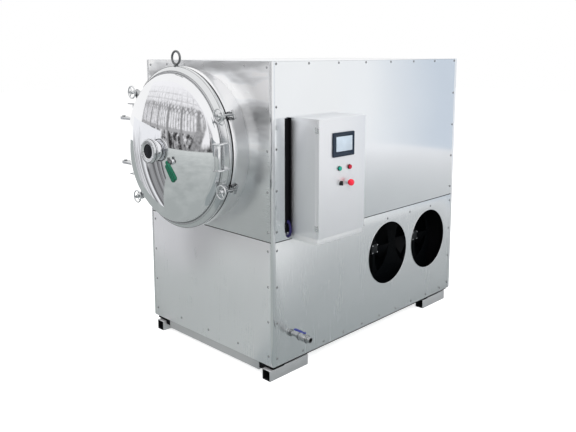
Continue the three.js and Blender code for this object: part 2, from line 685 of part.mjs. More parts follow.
// ---------------------------------------------------------------- lower compartment
function condenser() {
  const [y0, y1] = [fanCentresY[0] - fanHole - 23, fanCentresY[1] + fanHole + 15];
  const [z0, z1] = [floorTop + 156, deckBottom - 19];
  const coreX = fanPlateX - 200;
  const shroudX = fanPlateX - 30;
  const openings = fanCentresY.map((y) => [y, fanZ, fanRadius + 15, midSides]);
  const parts = [
    block(coreX, coreX + 90, y0, y1, z0, z1),
    facingX(rectangle(y0, y1, z0, z1), shroudX, 3, openings),
    block(coreX + 89, shroudX + 1, y0, y1, z0, z0 + 3),
    block(coreX + 89, shroudX + 1, y0, y1, z1 - 3, z1),
    block(coreX + 89, shroudX + 1, y0, y0 + 3, z0, z1),
    block(coreX + 89, shroudX + 1, y1 - 3, y1, z0, z1),
  ];
  for (const y of fanCentresY) {
    const barX = fanPlateX - gap - 6;
    parts.push(block(barX, barX + 6, y - 14, y + 14, fanZ - fanHole - 25, fanZ + fanHole + 25));
    parts.push(rodX(45, barX, barX + 6, y, fanZ));
    for (const z of [fanZ - fanHole - 25, fanZ + fanHole + 5]) {
      parts.push(block(shroudX + 1, barX + 1, y - 14, y + 14, z, z + 20));
    }
  }
  for (const y of [y0 + 20, y1 - 60]) {
    parts.push(block(coreX, coreX + 60, y, y + 40, floorTop + gap, z0 + 1));
    parts.push(block(shroudX - 37, shroudX + 3, y, y + 40, floorTop + gap, z0 + 1));
  }
  const bores = fanCentresY.map((y) => rodX(12 + gap, fanPlateX - 20, fanPlateX + 10, y, fanZ));
  return cut(join(...parts), ...bores);
}

function fanMotor(y) {
  const backX = fanPlateX - gap - 6 - gap;
  const heads = [-27, 27].flatMap((dy) =>
    [-27, 27].map((dz) => rodX(5.5, fanPlateX + 5, fanPlateX + 12, y + dy, fanZ + dz, 6)),
  );
  return join(
    block(fanPlateX, fanPlateX + 6, y - 34, y + 34, fanZ - 34, fanZ + 34),
    rodX(12, backX - 1, fanPlateX + 1, y, fanZ),
    rodX(motorRadius, backX - 54, backX, y, fanZ, midSides),
    ...heads,
  );
}

// A cup over the outside of the motor carries curved, pitched blades.
function fanImpeller(y) {
  const cupX = fanPlateX - 68;
  const cup = cut(
    rodX(hubRadius, cupX, fanPlateX - 10, 0, 0, midSides),
    rodX(motorRadius + 1.5, cupX + 5, fanPlateX, 0, 0, midSides),
  );
  const outline = [
    ...arc(0, 0, hubRadius - 3, -14, 26, 3),
    ...arc(0, 0, fanRadius, 32, -8, 4),
  ];
  const blades = Array.from({ length: fanBlades }, (_, i) => {
    const blade = plate(outline, -1.5, 1.5);
    blade.rotateZ(-radians(12)).rotateX(radians(24));
    return blade.rotateZ((i / fanBlades) * 2 * Math.PI).rotateY(Math.PI / 2).translate(cupX + 30, 0, 0);
  });
  return join(cup, ...blades).translate(0, y, fanZ);
}

function compressor() {
  const [r, high] = [compressorRadius, compressorHeight];
  const shell = turned(
    [
      [0, 6], [r - 40, 14], [r - 10, 45], [r, 90], [r, high - 90], [r - 10, high - 48], [r - 50, high - 18], [0, high - 4],
    ],
    smallSides,
  );
  const stand = [-1, 1].map((side) => block(-r, r, side * (r - 40) - 20, side * (r - 40) + 20, 0, 60));
  const port = rodZ(18, high - 40, high + 20, r - 90, 0);
  const solid = join(shell.rotateX(Math.PI / 2), ...stand, port);
  return solid.translate(-halfWidth + 375, halfDepth - 700, floorTop + gap);
}

function vacuumPump() {
  const body = block(-90, 90, -160, 120, 20, 230);
  const feet = [-120, 60].map((y) => block(-110, 110, y, y + 30, 0, 24));
  const motor = rodY(95, 110, 330, 0, 125);
  const port = rodZ(22, 225, 290, 0, -100);
  return join(body, ...feet, motor, port).translate(-halfWidth + 475, -halfDepth + 400, floorTop + gap);
}

function drainValve() {
  const across = [drainY, drainZ];
  const panel = halfWidth + gap;
  const seat = valveX - 58;
  const end = valveX + 50;
  return cut(
    join(
      rodX(pipeRadius, halfWidth - 65, seat + 2, ...across),
      rodX(23, panel, panel + 9, ...across, 6),
      rodX(21, seat, seat + 16, ...across, 6),
      rodX(24, seat + 15, valveX + 26, ...across),
      rodX(20, valveX + 25, end, ...across, 6),
      rodZ(9, drainZ + 15, drainZ + 30, valveX, drainY),
      rodZ(4.5, drainZ + 29, drainZ + 39, valveX, drainY, 8),
    ),
    rodX(12, valveX + 16, end + 10, ...across),
  );
}

function drainLever() {
  const z = drainZ + 30 + gap;
  const hub = rodZ(10, z, z + 3.5, 0, 0);
  const strip = block(-30, 0, -8, 8, z, z + 3.5);
  const sleeve = block(-86, -24, -9, 9, z - 2, z + 6);
  const lever = cut(join(hub, strip, sleeve), rodZ(clearOf(4.5, 8), z - 5, z + 10, 0, 0, 8));
  return lever.translate(valveX, drainY, 0);
}

function addLowerCompartment() {
  add('mid_deck', middleDeck(), 'darkSteel');
  add('condenser', condenser(), 'black');
  fanCentresY.forEach((y, i) => {
    add(`fan_motor_${i + 1}`, fanMotor(y), 'aluminium');
    add(`fan_impeller_${i + 1}`, fanImpeller(y), 'black');
  });
  add('compressor', compressor(), 'black');
  add('vacuum_pump', vacuumPump(), 'castGrey');
  add('drain_valve', drainValve(), 'polished');
  add('drain_lever', drainLever(), 'blue');
}

// ---------------------------------------------------------------- control box
const knuckleSegments = [[6, 17], [-17, -6]];

function controlBox() {
  const shell = cut(
    block(boxBackX, boxOpenX, boxFrontY, boxBackY, boxBottom, boxTop),
    block(boxBackX + sheet, boxOpenX + 1, boxFrontY + sheet, boxBackY - sheet, boxBottom + sheet, boxTop - sheet),
  );
  const hinges = boxHingeLevels.flatMap((level) => [
    ...knuckleSegments.map(([z0, z1]) => rodZ(boxKnuckle, level + z0, level + z1, boxHingeX, boxHingeY, 8)),
    ...knuckleSegments.map(([z0, z1]) => block(boxHingeX - 6, boxHingeX - 1, boxFrontY - 2.5, boxFrontY - 0.5, level + z0, level + z1)),
    block(boxHingeX - 14, boxHingeX - 5, boxFrontY - 2.5, boxFrontY + 0.5, level - 17, level + 17),
    rodZ(2.5, level - 17, level + 17, boxHingeX, boxHingeY, 8),
  ]);
  return join(shell, ...hinges);
}

function controlBoxDoor() {
  const pan = cut(
    block(boxDoorX, boxFaceX, boxFrontY, boxBackY, boxBottom, boxTop),
    block(boxDoorX - 1, boxFaceX - sheet, boxFrontY + sheet, boxBackY - sheet, boxBottom + sheet, boxTop - sheet),
  );
  const [screenY, screenZ] = panelCentre;
  const [openY, openZ] = [panelSize[0] / 2 - 5, panelSize[1] / 2 - 5];
  const collars = [greenAt, redAt, selectorAt].map(([y, z]) => rodX(collarRadius, boxFaceX - 1, boxFaceX + 3, y, z));
  const stopCollar = rodX(collarRadius, boxFaceX - 1, boxFaceX + 15, ...stopAt);
  const hinges = boxHingeLevels.flatMap((level) => [
    rodZ(boxKnuckle, level - 5.7, level + 5.7, boxHingeX, boxHingeY, 8),
    block(boxHingeX + 1, boxHingeX + 6, boxFrontY - 2.5, boxFrontY - 0.5, level - 5.7, level + 5.7),
    block(boxHingeX + 5, boxHingeX + 14, boxFrontY - 2.5, boxFrontY + 0.5, level - 17, level + 17),
  ]);
  const pinBores = boxHingeLevels.map((level) => rodZ(clearOf(2.5, 8), level - 8, level + 8, boxHingeX, boxHingeY, 8));
  const stemBores = [greenAt, redAt, selectorAt, stopAt].map((at) => rodX(clearOf(stemRadius, smallSides), boxFaceX - 20, boxFaceX + 30, ...at));
  const window = block(boxFaceX - 5, boxFaceX + 5, screenY - openY, screenY + openY, screenZ - openZ, screenZ + openZ);
  return cut(join(pan, ...collars, stopCollar, ...hinges), ...pinBores, ...stemBores, window);
}

function panelHousing() {
  const [y, z] = panelCentre;
  const [halfY, halfZ] = panelSize.map((size) => size / 2);
  const face = boxFaceX + gap;
  const frame = block(face, face + panelProud, y - halfY, y + halfY, z - halfZ, z + halfZ);
  const rear = block(face - 42, face + 1, y - halfY + 7, y + halfY - 7, z - halfZ + 7, z + halfZ - 7);
  const [midY, midZ] = [y + screenOffset[0], z + screenOffset[1]];
  const [sideY, sideZ] = screenSize.map((size) => size / 2 + gap);
  const recess = block(face + panelProud - 2, face + panelProud + 1, midY - sideY, midY + sideY, midZ - sideZ, midZ + sideZ);
  return cut(join(frame, rear), recess);
}

function panelScreen() {
  const front = boxFaceX + gap + panelProud;
  const [y, z] = [panelCentre[0] + screenOffset[0], panelCentre[1] + screenOffset[1]];
  const [halfY, halfZ] = screenSize.map((size) => size / 2);
  return block(front - 2 + gap, front - 0.4, y - halfY, y + halfY, z - halfZ, z + halfZ);
}

// Push button: travel is the space left between the cap and its collar.
function pushButton(at, travel) {
  const back = boxFaceX + 3 + gap + travel;
  return join(rodX(13.5, back, back + 5, ...at, midSides), rodX(stemRadius, boxFaceX - 12, back + 1, ...at));
}

function stopButton() {
  const back = boxFaceX + 15 + gap + 6;
  const cap = turned([[0, 0], [17, 0], [20, 4], [20, 13], [16, 20], [8, 23.5], [0, 24]], midSides);
  cap.rotateZ(-Math.PI / 2).translate(back, ...stopAt);
  return join(cap, rodX(stemRadius, boxFaceX - 12, back + 1, ...stopAt));
}

function selectorSwitch() {
  const back = boxFaceX + 3 + gap;
  const [y, z] = selectorAt;
  const wing = [[-4.5, -12], [4.5, -12], [3, 15], [-3, 15]].map(([u, v]) => [y + u, z + v]);
  return join(
    rodX(13.5, back, back + 4, y, z, midSides),
    facingX(wing, back + 3, 15),
    rodX(stemRadius, boxFaceX - 12, back + 1, y, z),
  );
}

function controlGear() {
  const x = boxBackX + sheet + gap;
  const top = boxTop - 60;
  const plateBack = block(x, x + 3, boxFrontY + 30, boxBackY - 30, boxBottom + 40, top);
  const rowPitch = (top - boxBottom - 40) / 3.2;
  const modules = [[0.8, 110, 3], [0.65, 90, 4], [0.55, 60, 5]].flatMap(([share, depth, count], row) => {
    const z = top - 10 - rowPitch * (row + share);
    const height = share * rowPitch;
    const pitch = (boxBackY - boxFrontY - 100) / count;
    return Array.from({ length: count }, (_, i) => {
      const y = boxFrontY + 50 + pitch * i;
      return block(x + 2, x + depth, y, y + pitch - 8, z, z + height);
    });
  });
  return join(plateBack, ...modules);
}

function boxTray() {
  const outer = block(halfWidth + gap, boxOpenX + 4, boxFrontY + 4, boxBackY - 4, boxBottom - gap - trayHeight, boxBottom - gap);
  const hollow = block(halfWidth + 3, boxOpenX, boxFrontY + 7, boxBackY - 7, boxBottom - trayHeight - 1, boxBottom - gap - 3);
  return cut(outer, hollow);
}

function boxSpacer() {
  return block(halfWidth + gap, boxBackX - gap, boxFrontY + 20, boxBackY - 20, boxBottom + 5, boxTop - 14);
}

function wiringHose() {
  const [x, y] = [halfWidth + gap, boxFrontY - 11];
  const levels = [boxBottom + 70, boxBottom - 22];
  const ends = levels.map((z) => new THREE.Vector3(x, y, z));
  const pulls = levels.map((z) => new THREE.Vector3(x + 35, y, z));
  const path = new THREE.CubicBezierCurve3(ends[0], pulls[0], pulls[1], ends[1]);
  const section = new THREE.Shape(circle(0, 0, 9, 8));
  return new THREE.ExtrudeGeometry(section, { steps: 8, extrudePath: path, bevelEnabled: false });
}

function addControlBox() {
  add('control_box', controlBox(), 'frontSteel');
  add('control_box_door', controlBoxDoor(), 'frontSteel');
  add('box_base', boxTray(), 'darkSteel');
  add('box_spacer', boxSpacer(), 'black');
  add('control_gear', controlGear(), 'castGrey');
  add('hmi_housing', panelHousing(), 'bezel');
  add('hmi_screen', panelScreen(), 'screen');
  add('green_button', pushButton(greenAt, 4), 'green');
  add('red_button', pushButton(redAt, 4), 'red');
  add('selector_switch', selectorSwitch(), 'black');
  add('stop_button', stopButton(), 'stopRed');
  add('wiring_hose', wiringHose(), 'rubber');
}

addCabinet();
addChamberAndDoor();
addLowerCompartment();
addControlBox();

// The origin is under the middle of the whole machine, on the floor.
const bounds = new THREE.Box3().setFromObject(machine);
const middle = bounds.getCenter(new THREE.Vector3());
machine.position.set(-middle.x, -middle.y, -bounds.min.z);

export default machine;
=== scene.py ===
import math

import bmesh
import bpy
from mathutils import Matrix, Vector


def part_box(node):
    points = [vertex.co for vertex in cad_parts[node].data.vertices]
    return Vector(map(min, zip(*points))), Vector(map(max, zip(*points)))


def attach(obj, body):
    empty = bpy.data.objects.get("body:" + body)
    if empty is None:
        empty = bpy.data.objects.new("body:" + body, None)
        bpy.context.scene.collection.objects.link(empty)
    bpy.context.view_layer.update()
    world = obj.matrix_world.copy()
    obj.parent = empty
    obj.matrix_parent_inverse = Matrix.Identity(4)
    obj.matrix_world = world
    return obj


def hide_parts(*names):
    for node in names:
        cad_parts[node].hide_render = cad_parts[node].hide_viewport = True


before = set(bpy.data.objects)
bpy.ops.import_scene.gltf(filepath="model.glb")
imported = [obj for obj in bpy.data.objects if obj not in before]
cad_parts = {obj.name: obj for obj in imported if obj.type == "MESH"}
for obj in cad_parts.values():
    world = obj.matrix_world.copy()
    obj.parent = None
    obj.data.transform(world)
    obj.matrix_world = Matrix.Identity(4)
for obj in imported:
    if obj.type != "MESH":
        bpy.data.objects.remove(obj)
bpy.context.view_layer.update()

bpy.context.scene.view_settings.view_transform = "Standard"

# ---------------------------------------------------------------- places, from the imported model
MM = 0.001
cover_low, cover_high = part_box("top_cover")
seal_low, seal_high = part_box("gasket")
MID_X = (cover_low[0] + cover_high[0]) / 2
MID_Y = (cover_low[1] + cover_high[1]) / 2
AXIS_X = (seal_low[0] + seal_high[0]) / 2
AXIS_Z = (seal_low[2] + seal_high[2]) / 2
FRONT = cover_low[1]
FAN_OPENING, DRAIN_HOLE = 225, 14


def at_cabinet(x, y, z):
    """A point in millimetres from the middle of the cabinet, on the floor."""
    return Vector((MID_X + x * MM, MID_Y + y * MM, z * MM))


def at_vessel(x, y, z):
    """A point in millimetres from the chamber axis, in the plane of the front panel."""
    return Vector((AXIS_X + x * MM, FRONT + y * MM, AXIS_Z + z * MM))


def round_axis(radius, y, angle, side=0.0):
    """A point at a radius and an angle from +X about the chamber axis, moved sideways round it."""
    a = math.radians(angle)
    return at_vessel(
        radius * math.cos(a) - side * math.sin(a), y, radius * math.sin(a) + side * math.cos(a)
    )


# ---------------------------------------------------------------- modelling by operators
def deselect():
    if bpy.context.object and bpy.context.object.mode != "OBJECT":
        bpy.ops.object.mode_set(mode="OBJECT")
    bpy.ops.object.select_all(action="DESELECT")


def active(thing):
    deselect()
    thing.select_set(True)
    bpy.context.view_layer.objects.active = thing
    return thing


def new_mesh(operator, **values):
    deselect()
    operator(**values)
    return bpy.context.object


def edit(thing, mode="VERT"):
    active(thing)
    bpy.ops.object.mode_set(mode="EDIT")
    bpy.ops.mesh.select_mode(type=mode)
    bpy.ops.mesh.select_all(action="SELECT")


def seat(thing):
    """Puts an object's place, turn and size into its mesh."""
    active(thing)
    bpy.ops.object.transform_apply(location=True, rotation=True, scale=True)
    return thing


def rounded(thing, width, segments=2, angle=30):
    """Rounds the sharp edges by a width in millimetres and shades the rest smooth."""
    active(thing)
    if width:
        bevel = thing.modifiers.new("edge", "BEVEL")
        bevel.width = width * MM
        bevel.segments = segments
        bevel.limit_method = "ANGLE"
        bevel.angle_limit = math.radians(angle)
        bevel.use_clamp_overlap = True
        bpy.ops.object.modifier_apply(modifier="edge")
    bpy.ops.object.shade_smooth_by_angle(angle=math.radians(38))
    return thing


def path_of_edges(points):
    """A chain of edges through the points, drawn by extruding one vertex."""
    thing = new_mesh(bpy.ops.mesh.primitive_plane_add, size=0.001, location=(0, 0, 0))
    edit(thing)
    bpy.ops.mesh.merge(type="CENTER")
    bpy.ops.transform.translate(value=points[0])
    for before, after in zip(points, points[1:]):
        bpy.ops.mesh.extrude_region_move(TRANSFORM_OT_translate={"value": Vector(after) - Vector(before)})
    return thing


def spun(points, steps, centre, axis):
    """Spins a chain of points round an axis and closes the seam and the poles."""
    thing = path_of_edges(points)
    bpy.ops.mesh.select_all(action="SELECT")
    bpy.ops.mesh.spin(steps=steps, angle=2 * math.pi, center=centre, axis=axis)
    bpy.ops.mesh.select_all(action="SELECT")
    bpy.ops.mesh.remove_doubles(threshold=1e-6)
    bpy.ops.mesh.normals_make_consistent(inside=False)
    deselect()
    return thing


def closed(points, profile):
    """Adds the first point again, unless the profile starts and ends on the axis."""
    return [*points, points[0]] if profile[0][0] or profile[-1][0] else points


def turned(profile, centre=(0, 0), along="y", steps=128, width=0, segments=2):
    """Spins [radius, distance] points, in millimetres, about an axis and closes the seam."""
    if along == "y":
        origin = at_vessel(centre[0], 0, centre[1])
        points = [origin + Vector((0, d * MM, r * MM)) for r, d in profile]
        axis = (0, 1, 0)
    elif along == "x":
        origin = at_cabinet(0, *centre)
        points = [origin + Vector((d * MM, 0, r * MM)) for r, d in profile]
        axis = (1, 0, 0)
    else:
        origin = at_cabinet(centre[0], centre[1], 0)
        points = [origin + Vector((r * MM, 0, d * MM)) for r, d in profile]
        axis = (0, 0, 1)
    return rounded(spun(closed(points, profile), steps, origin, axis), width, segments, 20)


def plate(points, depth, width=0.8):
    """A flat outline of 3D points, filled and pulled by a depth vector."""
    thing = path_of_edges([*points, points[0]])
    bpy.ops.mesh.select_all(action="SELECT")
    bpy.ops.mesh.remove_doubles(threshold=1e-6)
    bpy.ops.mesh.select_all(action="SELECT")
    bpy.ops.mesh.edge_face_add()
    bpy.ops.mesh.extrude_region_move(TRANSFORM_OT_translate={"value": depth})
    bpy.ops.mesh.select_all(action="SELECT")
    bpy.ops.mesh.normals_make_consistent(inside=False)
    deselect()
    return rounded(thing, width)


def block(low, high, width=1.0, segments=2):
    low, high = Vector(low), Vector(high)
    thing = new_mesh(bpy.ops.mesh.primitive_cube_add, size=1, location=(low + high) / 2)
    thing.scale = high - low
    seat(thing)
    return rounded(thing, width, segments)


def rod(start, end, radius, width=0.6, sides=32):
    start, end = Vector(start), Vector(end)
    run = end - start
    thing = new_mesh(
        bpy.ops.mesh.primitive_cylinder_add, vertices=sides, radius=radius * MM, depth=run.length,
        location=(start + end) / 2, rotation=run.to_track_quat("Z", "Y").to_euler(),
    )
    seat(thing)
    return rounded(thing, width)


def ring(centre, axis, major, minor, around=48, across=16):
    thing = new_mesh(
        bpy.ops.mesh.primitive_torus_add, location=centre,
        rotation=Vector(axis).to_track_quat("Z", "Y").to_euler(),
        major_radius=major * MM, minor_radius=minor * MM, major_segments=around, minor_segments=across,
    )
    seat(thing)
    active(thing)
    bpy.ops.object.shade_smooth()
    return thing


def tube(points, radius, sides=6):
    """A round bar along a smooth path."""
    path = new_mesh(bpy.ops.curve.primitive_nurbs_path_add)
    spline = path.data.splines[0]
    spline.points.add(max(0, len(points) - len(spline.points)))
    for spot, point in zip(spline.points, points):
        spot.co = (*point, 1)
    spline.order_u = 3
    spline.use_endpoint_u = True
    spline.resolution_u = 6
    path.location = (0, 0, 0)
    path.data.bevel_depth = radius * MM
    path.data.bevel_resolution = sides
    path.data.use_fill_caps = True
    active(path)
    bpy.ops.object.convert(target="MESH")
    bpy.ops.object.shade_smooth_by_angle(angle=math.radians(40))
    return bpy.context.object


def refined(node, width, segments=2):
    """A copy of a construction solid with merged corners and softly rounded edges."""
    active(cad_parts[node])
    bpy.ops.object.duplicate()
    thing = bpy.context.object
    edit(thing)
    bpy.ops.mesh.remove_doubles(threshold=2e-6)
    bpy.ops.mesh.select_all(action="SELECT")
    bpy.ops.mesh.dissolve_limited(angle_limit=math.radians(0.5))
    deselect()
    thing.data.materials.clear()
    return rounded(thing, width, segments, 40)


def cut(thing, tool):
    """Takes the tool's shape out of a thing."""
    hollow = thing.modifiers.new("cut", "BOOLEAN")
    hollow.operation, hollow.solver, hollow.object = "DIFFERENCE", "EXACT", tool
    active(thing)
    bpy.ops.object.modifier_apply(modifier="cut")
    bpy.data.objects.remove(tool)
    return thing


def joined(parts):
    deselect()
    for part in parts:
        part.select_set(True)
    bpy.context.view_layer.objects.active = parts[0]
    if len(parts) > 1:
        bpy.ops.object.join()
    return bpy.context.object


def copies(thing, places):
    """The part itself and moved copies of it, each with its own mesh."""
    made = [thing]
    for place in places:
        active(thing)
        bpy.ops.object.duplicate()
        copy = bpy.context.object
        copy.matrix_world = place @ copy.matrix_world
        made.append(seat(copy))
    return made


def keep(name, parts, body, finish, stands_for=()):
    """Names a finished piece, gives it its material and fixes it to its moving body."""
    thing = joined(parts)
    thing.name = name
    thing.data.name = name
    thing.data.materials.clear()
    thing.data.materials.append(finish)
    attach(thing, body)
    if stands_for:
        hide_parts(*stands_for)
    return thing


# ---------------------------------------------------------------- shader groups
class Nodes:
    """Short calls for adding and linking the nodes of one tree."""

    def __init__(self, tree):
        self.tree = tree

    def add(self, kind, inputs=(), **settings):
        node = self.tree.nodes.new(kind)
        for key, value in settings.items():
            setattr(node, key, value)
        for key, value in dict(inputs).items():
            self.feed(value, node.inputs[key])
        return node

    def feed(self, value, socket):
        if isinstance(value, bpy.types.NodeSocket):
            self.tree.links.new(value, socket)
        else:
            socket.default_value = value

    def math(self, operation, first, second=0.0, third=0.0):
        node = self.add("ShaderNodeMath", {0: first, 1: second, 2: third}, operation=operation)
        return node.outputs[0]

    def vector(self, operation, first, second=(0, 0, 0)):
        return self.add("ShaderNodeVectorMath", {0: first, 1: second}, operation=operation).outputs[0]

    def spread(self, value, low, high, to_low=0.0, to_high=1.0):
        node = self.add(
            "ShaderNodeMapRange",
            {"Value": value, "From Min": low, "From Max": high, "To Min": to_low, "To Max": to_high},
        )
        return node.outputs["Result"]

    def grey(self, value):
        return self.add("ShaderNodeCombineColor", {0: value, 1: value, 2: value}).outputs[0]

    def tinted(self, colour, value):
        """A colour made lighter or darker by a value."""
        tint = self.add(
            "ShaderNodeMix", {0: 1.0, 6: colour, 7: self.grey(value)}, data_type="RGBA", blend_type="MULTIPLY"
        )
        return tint.outputs[2]

    def mixed(self, base, over, mask):
        return self.add("ShaderNodeMix", {0: mask, 2: base, 3: over}, data_type="FLOAT").outputs[0]

    def place(self):
        return self.add("ShaderNodeTexCoord").outputs["Object"]

    def plus(self, first, second):
        return self.math("ADD", first, second)

    def minus(self, first, second):
        return self.math("SUBTRACT", first, second)

    def times(self, first, second):
        return self.math("MULTIPLY", first, second)

    def noise(self, place, scale, detail=3.0, roughness=0.5):
        node = self.add(
            "ShaderNodeTexNoise", {"Vector": place, "Scale": scale, "Detail": detail, "Roughness": roughness}
        )
        return node.outputs["Fac"]


def group(name, inputs, outputs):
    """A shader node group with named sockets; returns it with its input and output sockets."""
    tree = bpy.data.node_groups.new(name, "ShaderNodeTree")
    for label, kind, value in inputs:
        socket = tree.interface.new_socket(label, in_out="INPUT", socket_type=f"NodeSocket{kind}")
        socket.default_value = value
    for label, kind in outputs:
        tree.interface.new_socket(label, in_out="OUTPUT", socket_type=f"NodeSocket{kind}")
    nodes = Nodes(tree)
    entry = nodes.add("NodeGroupInput")
    leave = nodes.add("NodeGroupOutput")
    return tree, nodes, entry.outputs, leave.inputs


def sheet_grain_group():
    """Rolled stainless sheet: fine drawn lines, cloudy tone and faint wipe marks, with painted reflection streaks:
    level light and dark bands at set heights, lighter near the top and darker lower down.
    """
    tree, n, given, out = group(
        "sheet_grain",
        [("Colour", "Color", (0.6, 0.6, 0.6, 1)), ("Stretch", "Vector", (500, 500, 6)), ("Grain", "Float", 0.06),
         ("Cloud", "Float", 0.08), ("Roughness", "Float", 0.3), ("Spread", "Float", 0.1),
         ("Streaks", "Float", 0.0)],
        [("Colour", "Color"), ("Roughness", "Float"), ("Height", "Float")],
    )
    place = n.place()
    lines = n.noise(n.vector("MULTIPLY", place, given["Stretch"]), 1.0, 4.0, 0.6)
    height = n.add("ShaderNodeSeparateXYZ", {0: place}).outputs[2]
    drift = n.noise(n.vector("MULTIPLY", place, (1.6, 1.6, 5.0)), 1.0, 3.0, 0.6)
    # painted reflection streaks: level light and dark bands at set heights, wavering with the drift noise
    phase = n.plus(n.times(height, 20.9), n.times(drift, 9.0))
    painted_reflection_bands = n.times(n.math("SINE", n.minus(phase, 2.2)), n.spread(height, 1.15, 1.6))
    # painted light and shade: lighter towards the top of the sheet, darker lower down
    painted_top_light = n.minus(n.times(n.spread(height, 1.55, 1.85), 0.30), n.times(n.spread(height, 1.5, 1.1), 0.28))
    painted_reflection_bands = n.times(n.plus(painted_reflection_bands, painted_top_light), given["Streaks"])
    cloud = n.noise(place, 2.2, 3.0, 0.55)
    wipes = n.noise(n.vector("MULTIPLY", place, (9.0, 9.0, 2.5)), 1.0, 2.0, 0.5)
    grain = n.times(n.minus(lines, 0.5), given["Grain"])
    clouds = n.times(n.minus(cloud, 0.5), given["Cloud"])
    value = n.plus(n.plus(grain, clouds), n.plus(painted_reflection_bands, 1.0))
    n.feed(n.tinted(given["Colour"], value), out["Colour"])
    change = n.plus(n.times(n.minus(wipes, 0.5), 0.6), n.minus(lines, 0.5))
    n.feed(n.plus(given["Roughness"], n.times(change, given["Spread"])), out["Roughness"])
    n.feed(lines, out["Height"])
    return tree


def turned_grain_group():
    """Turned or rolled metal round the chamber axis: fine rings and a little cloud."""
    tree, n, given, out = group(
        "turned_grain",
        [("Colour", "Color", (0.7, 0.7, 0.7, 1)), ("Centre", "Vector", (0, 0, 0)), ("Rings", "Float", 900.0),
         ("Grain", "Float", 0.08), ("Roughness", "Float", 0.25), ("Spread", "Float", 0.1)],
        [("Colour", "Color"), ("Roughness", "Float"), ("Height", "Float")],
    )
    place = n.place()
    local = n.vector("SUBTRACT", place, given["Centre"])
    split = n.add("ShaderNodeSeparateXYZ", {0: local})
    x, y, z = split.outputs
    radius = n.math("SQRT", n.plus(n.times(x, x), n.times(z, z)))
    turn = n.math("ARCTAN2", z, x)
    rings = n.add("ShaderNodeCombineXYZ", {0: n.times(radius, given["Rings"]),
                                           1: n.times(y, given["Rings"]), 2: n.times(turn, 2.5)})
    lines = n.noise(rings.outputs[0], 1.0, 3.0, 0.6)
    cloud = n.noise(local, 5.0, 3.0, 0.5)
    value = n.plus(n.times(n.minus(lines, 0.5), given["Grain"]), 1.0)
    value = n.plus(value, n.times(n.minus(cloud, 0.5), 0.08))
    n.feed(n.tinted(given["Colour"], value), out["Colour"])
    change = n.plus(n.minus(lines, 0.5), n.times(n.minus(cloud, 0.5), 0.8))
    n.feed(n.plus(given["Roughness"], n.times(change, given["Spread"])), out["Roughness"])
    n.feed(lines, out["Height"])
    return tree


def mottle_group():
    """Moulded, cast or painted surface: small grain and soft changes of tone."""
    tree, n, given, out = group(
        "mottle",
        [("Colour", "Color", (0.1, 0.1, 0.1, 1)), ("Scale", "Float", 900.0), ("Change", "Float", 0.15),
         ("Roughness", "Float", 0.5), ("Spread", "Float", 0.15)],
        [("Colour", "Color"), ("Roughness", "Float"), ("Height", "Float")],
    )
    place = n.place()
    fine = n.noise(place, given["Scale"], 2.0, 0.5)
    cloud = n.noise(place, 14.0, 3.0, 0.5)
    value = n.plus(n.times(n.minus(cloud, 0.5), given["Change"]), 1.0)
    n.feed(n.tinted(given["Colour"], value), out["Colour"])
    change = n.minus(n.plus(n.times(fine, 0.5), n.times(cloud, 0.5)), 0.5)
    n.feed(n.plus(given["Roughness"], n.times(change, given["Spread"])), out["Roughness"])
    n.feed(fine, out["Height"])
    return tree


SHEET = sheet_grain_group()
TURNED = turned_grain_group()
MOTTLE = mottle_group()


def material(name, effect, values, bump=0.0, distance=0.0002, **sockets):
    """A principled material whose colour, roughness and bump come from one effect group."""
    made = bpy.data.materials.new(name)
    made.use_nodes = True
    n = Nodes(made.node_tree)
    surface = made.node_tree.nodes["Principled BSDF"]
    detail = n.add("ShaderNodeGroup", node_tree=effect)
    for key, value in values.items():
        detail.inputs[key].default_value = (*value, 1) if key == "Colour" else value
    n.feed(detail.outputs["Colour"], surface.inputs["Base Color"])
    n.feed(detail.outputs["Roughness"], surface.inputs["Roughness"])
    if bump:
        relief = n.add("ShaderNodeBump", {"Strength": bump, "Distance": distance,
                                          "Height": detail.outputs["Height"]})
        n.feed(relief.outputs["Normal"], surface.inputs["Normal"])
    for key, value in sockets.items():
        surface.inputs[key.replace("_", " ")].default_value = value
    made.diffuse_color = (*values["Colour"], 1)
    return made


UPRIGHT = (420.0, 420.0, 5.0)


def rolled(name, colour, grain, cloud, roughness, spread, metallic, bump=0.0, stretch=UPRIGHT, reflection_streaks=0.0,
           **sockets):
    """Rolled sheet; stretch sets how fine its lines are along each axis, and the streak strength sets how strongly
    the painted reflection bands and painted top light show.
    """
    values = dict(Colour=colour, Stretch=stretch, Grain=grain, Cloud=cloud, Roughness=roughness, Spread=spread,
                  Streaks=reflection_streaks)
    return material(name, SHEET, values, bump, Metallic=metallic, **sockets)


def spun_metal(name, colour, rings, grain, roughness, spread, bump=0.0):
    """Metal turned round the chamber axis, with so many rings to the metre."""
    values = dict(Colour=colour, Centre=tuple(at_vessel(0, 0, 0)), Rings=rings, Grain=grain, Roughness=roughness,
                  Spread=spread)
    return material(name, TURNED, values, bump, Metallic=1.0)


def mottled(name, colour, scale, change, roughness, spread, bump=0.0, **sockets):
    """Cast, moulded or painted surface; scale sets how fine its grain is."""
    values = dict(Colour=colour, Scale=scale, Change=change, Roughness=roughness, Spread=spread)
    return material(name, MOTTLE, values, bump, **sockets)


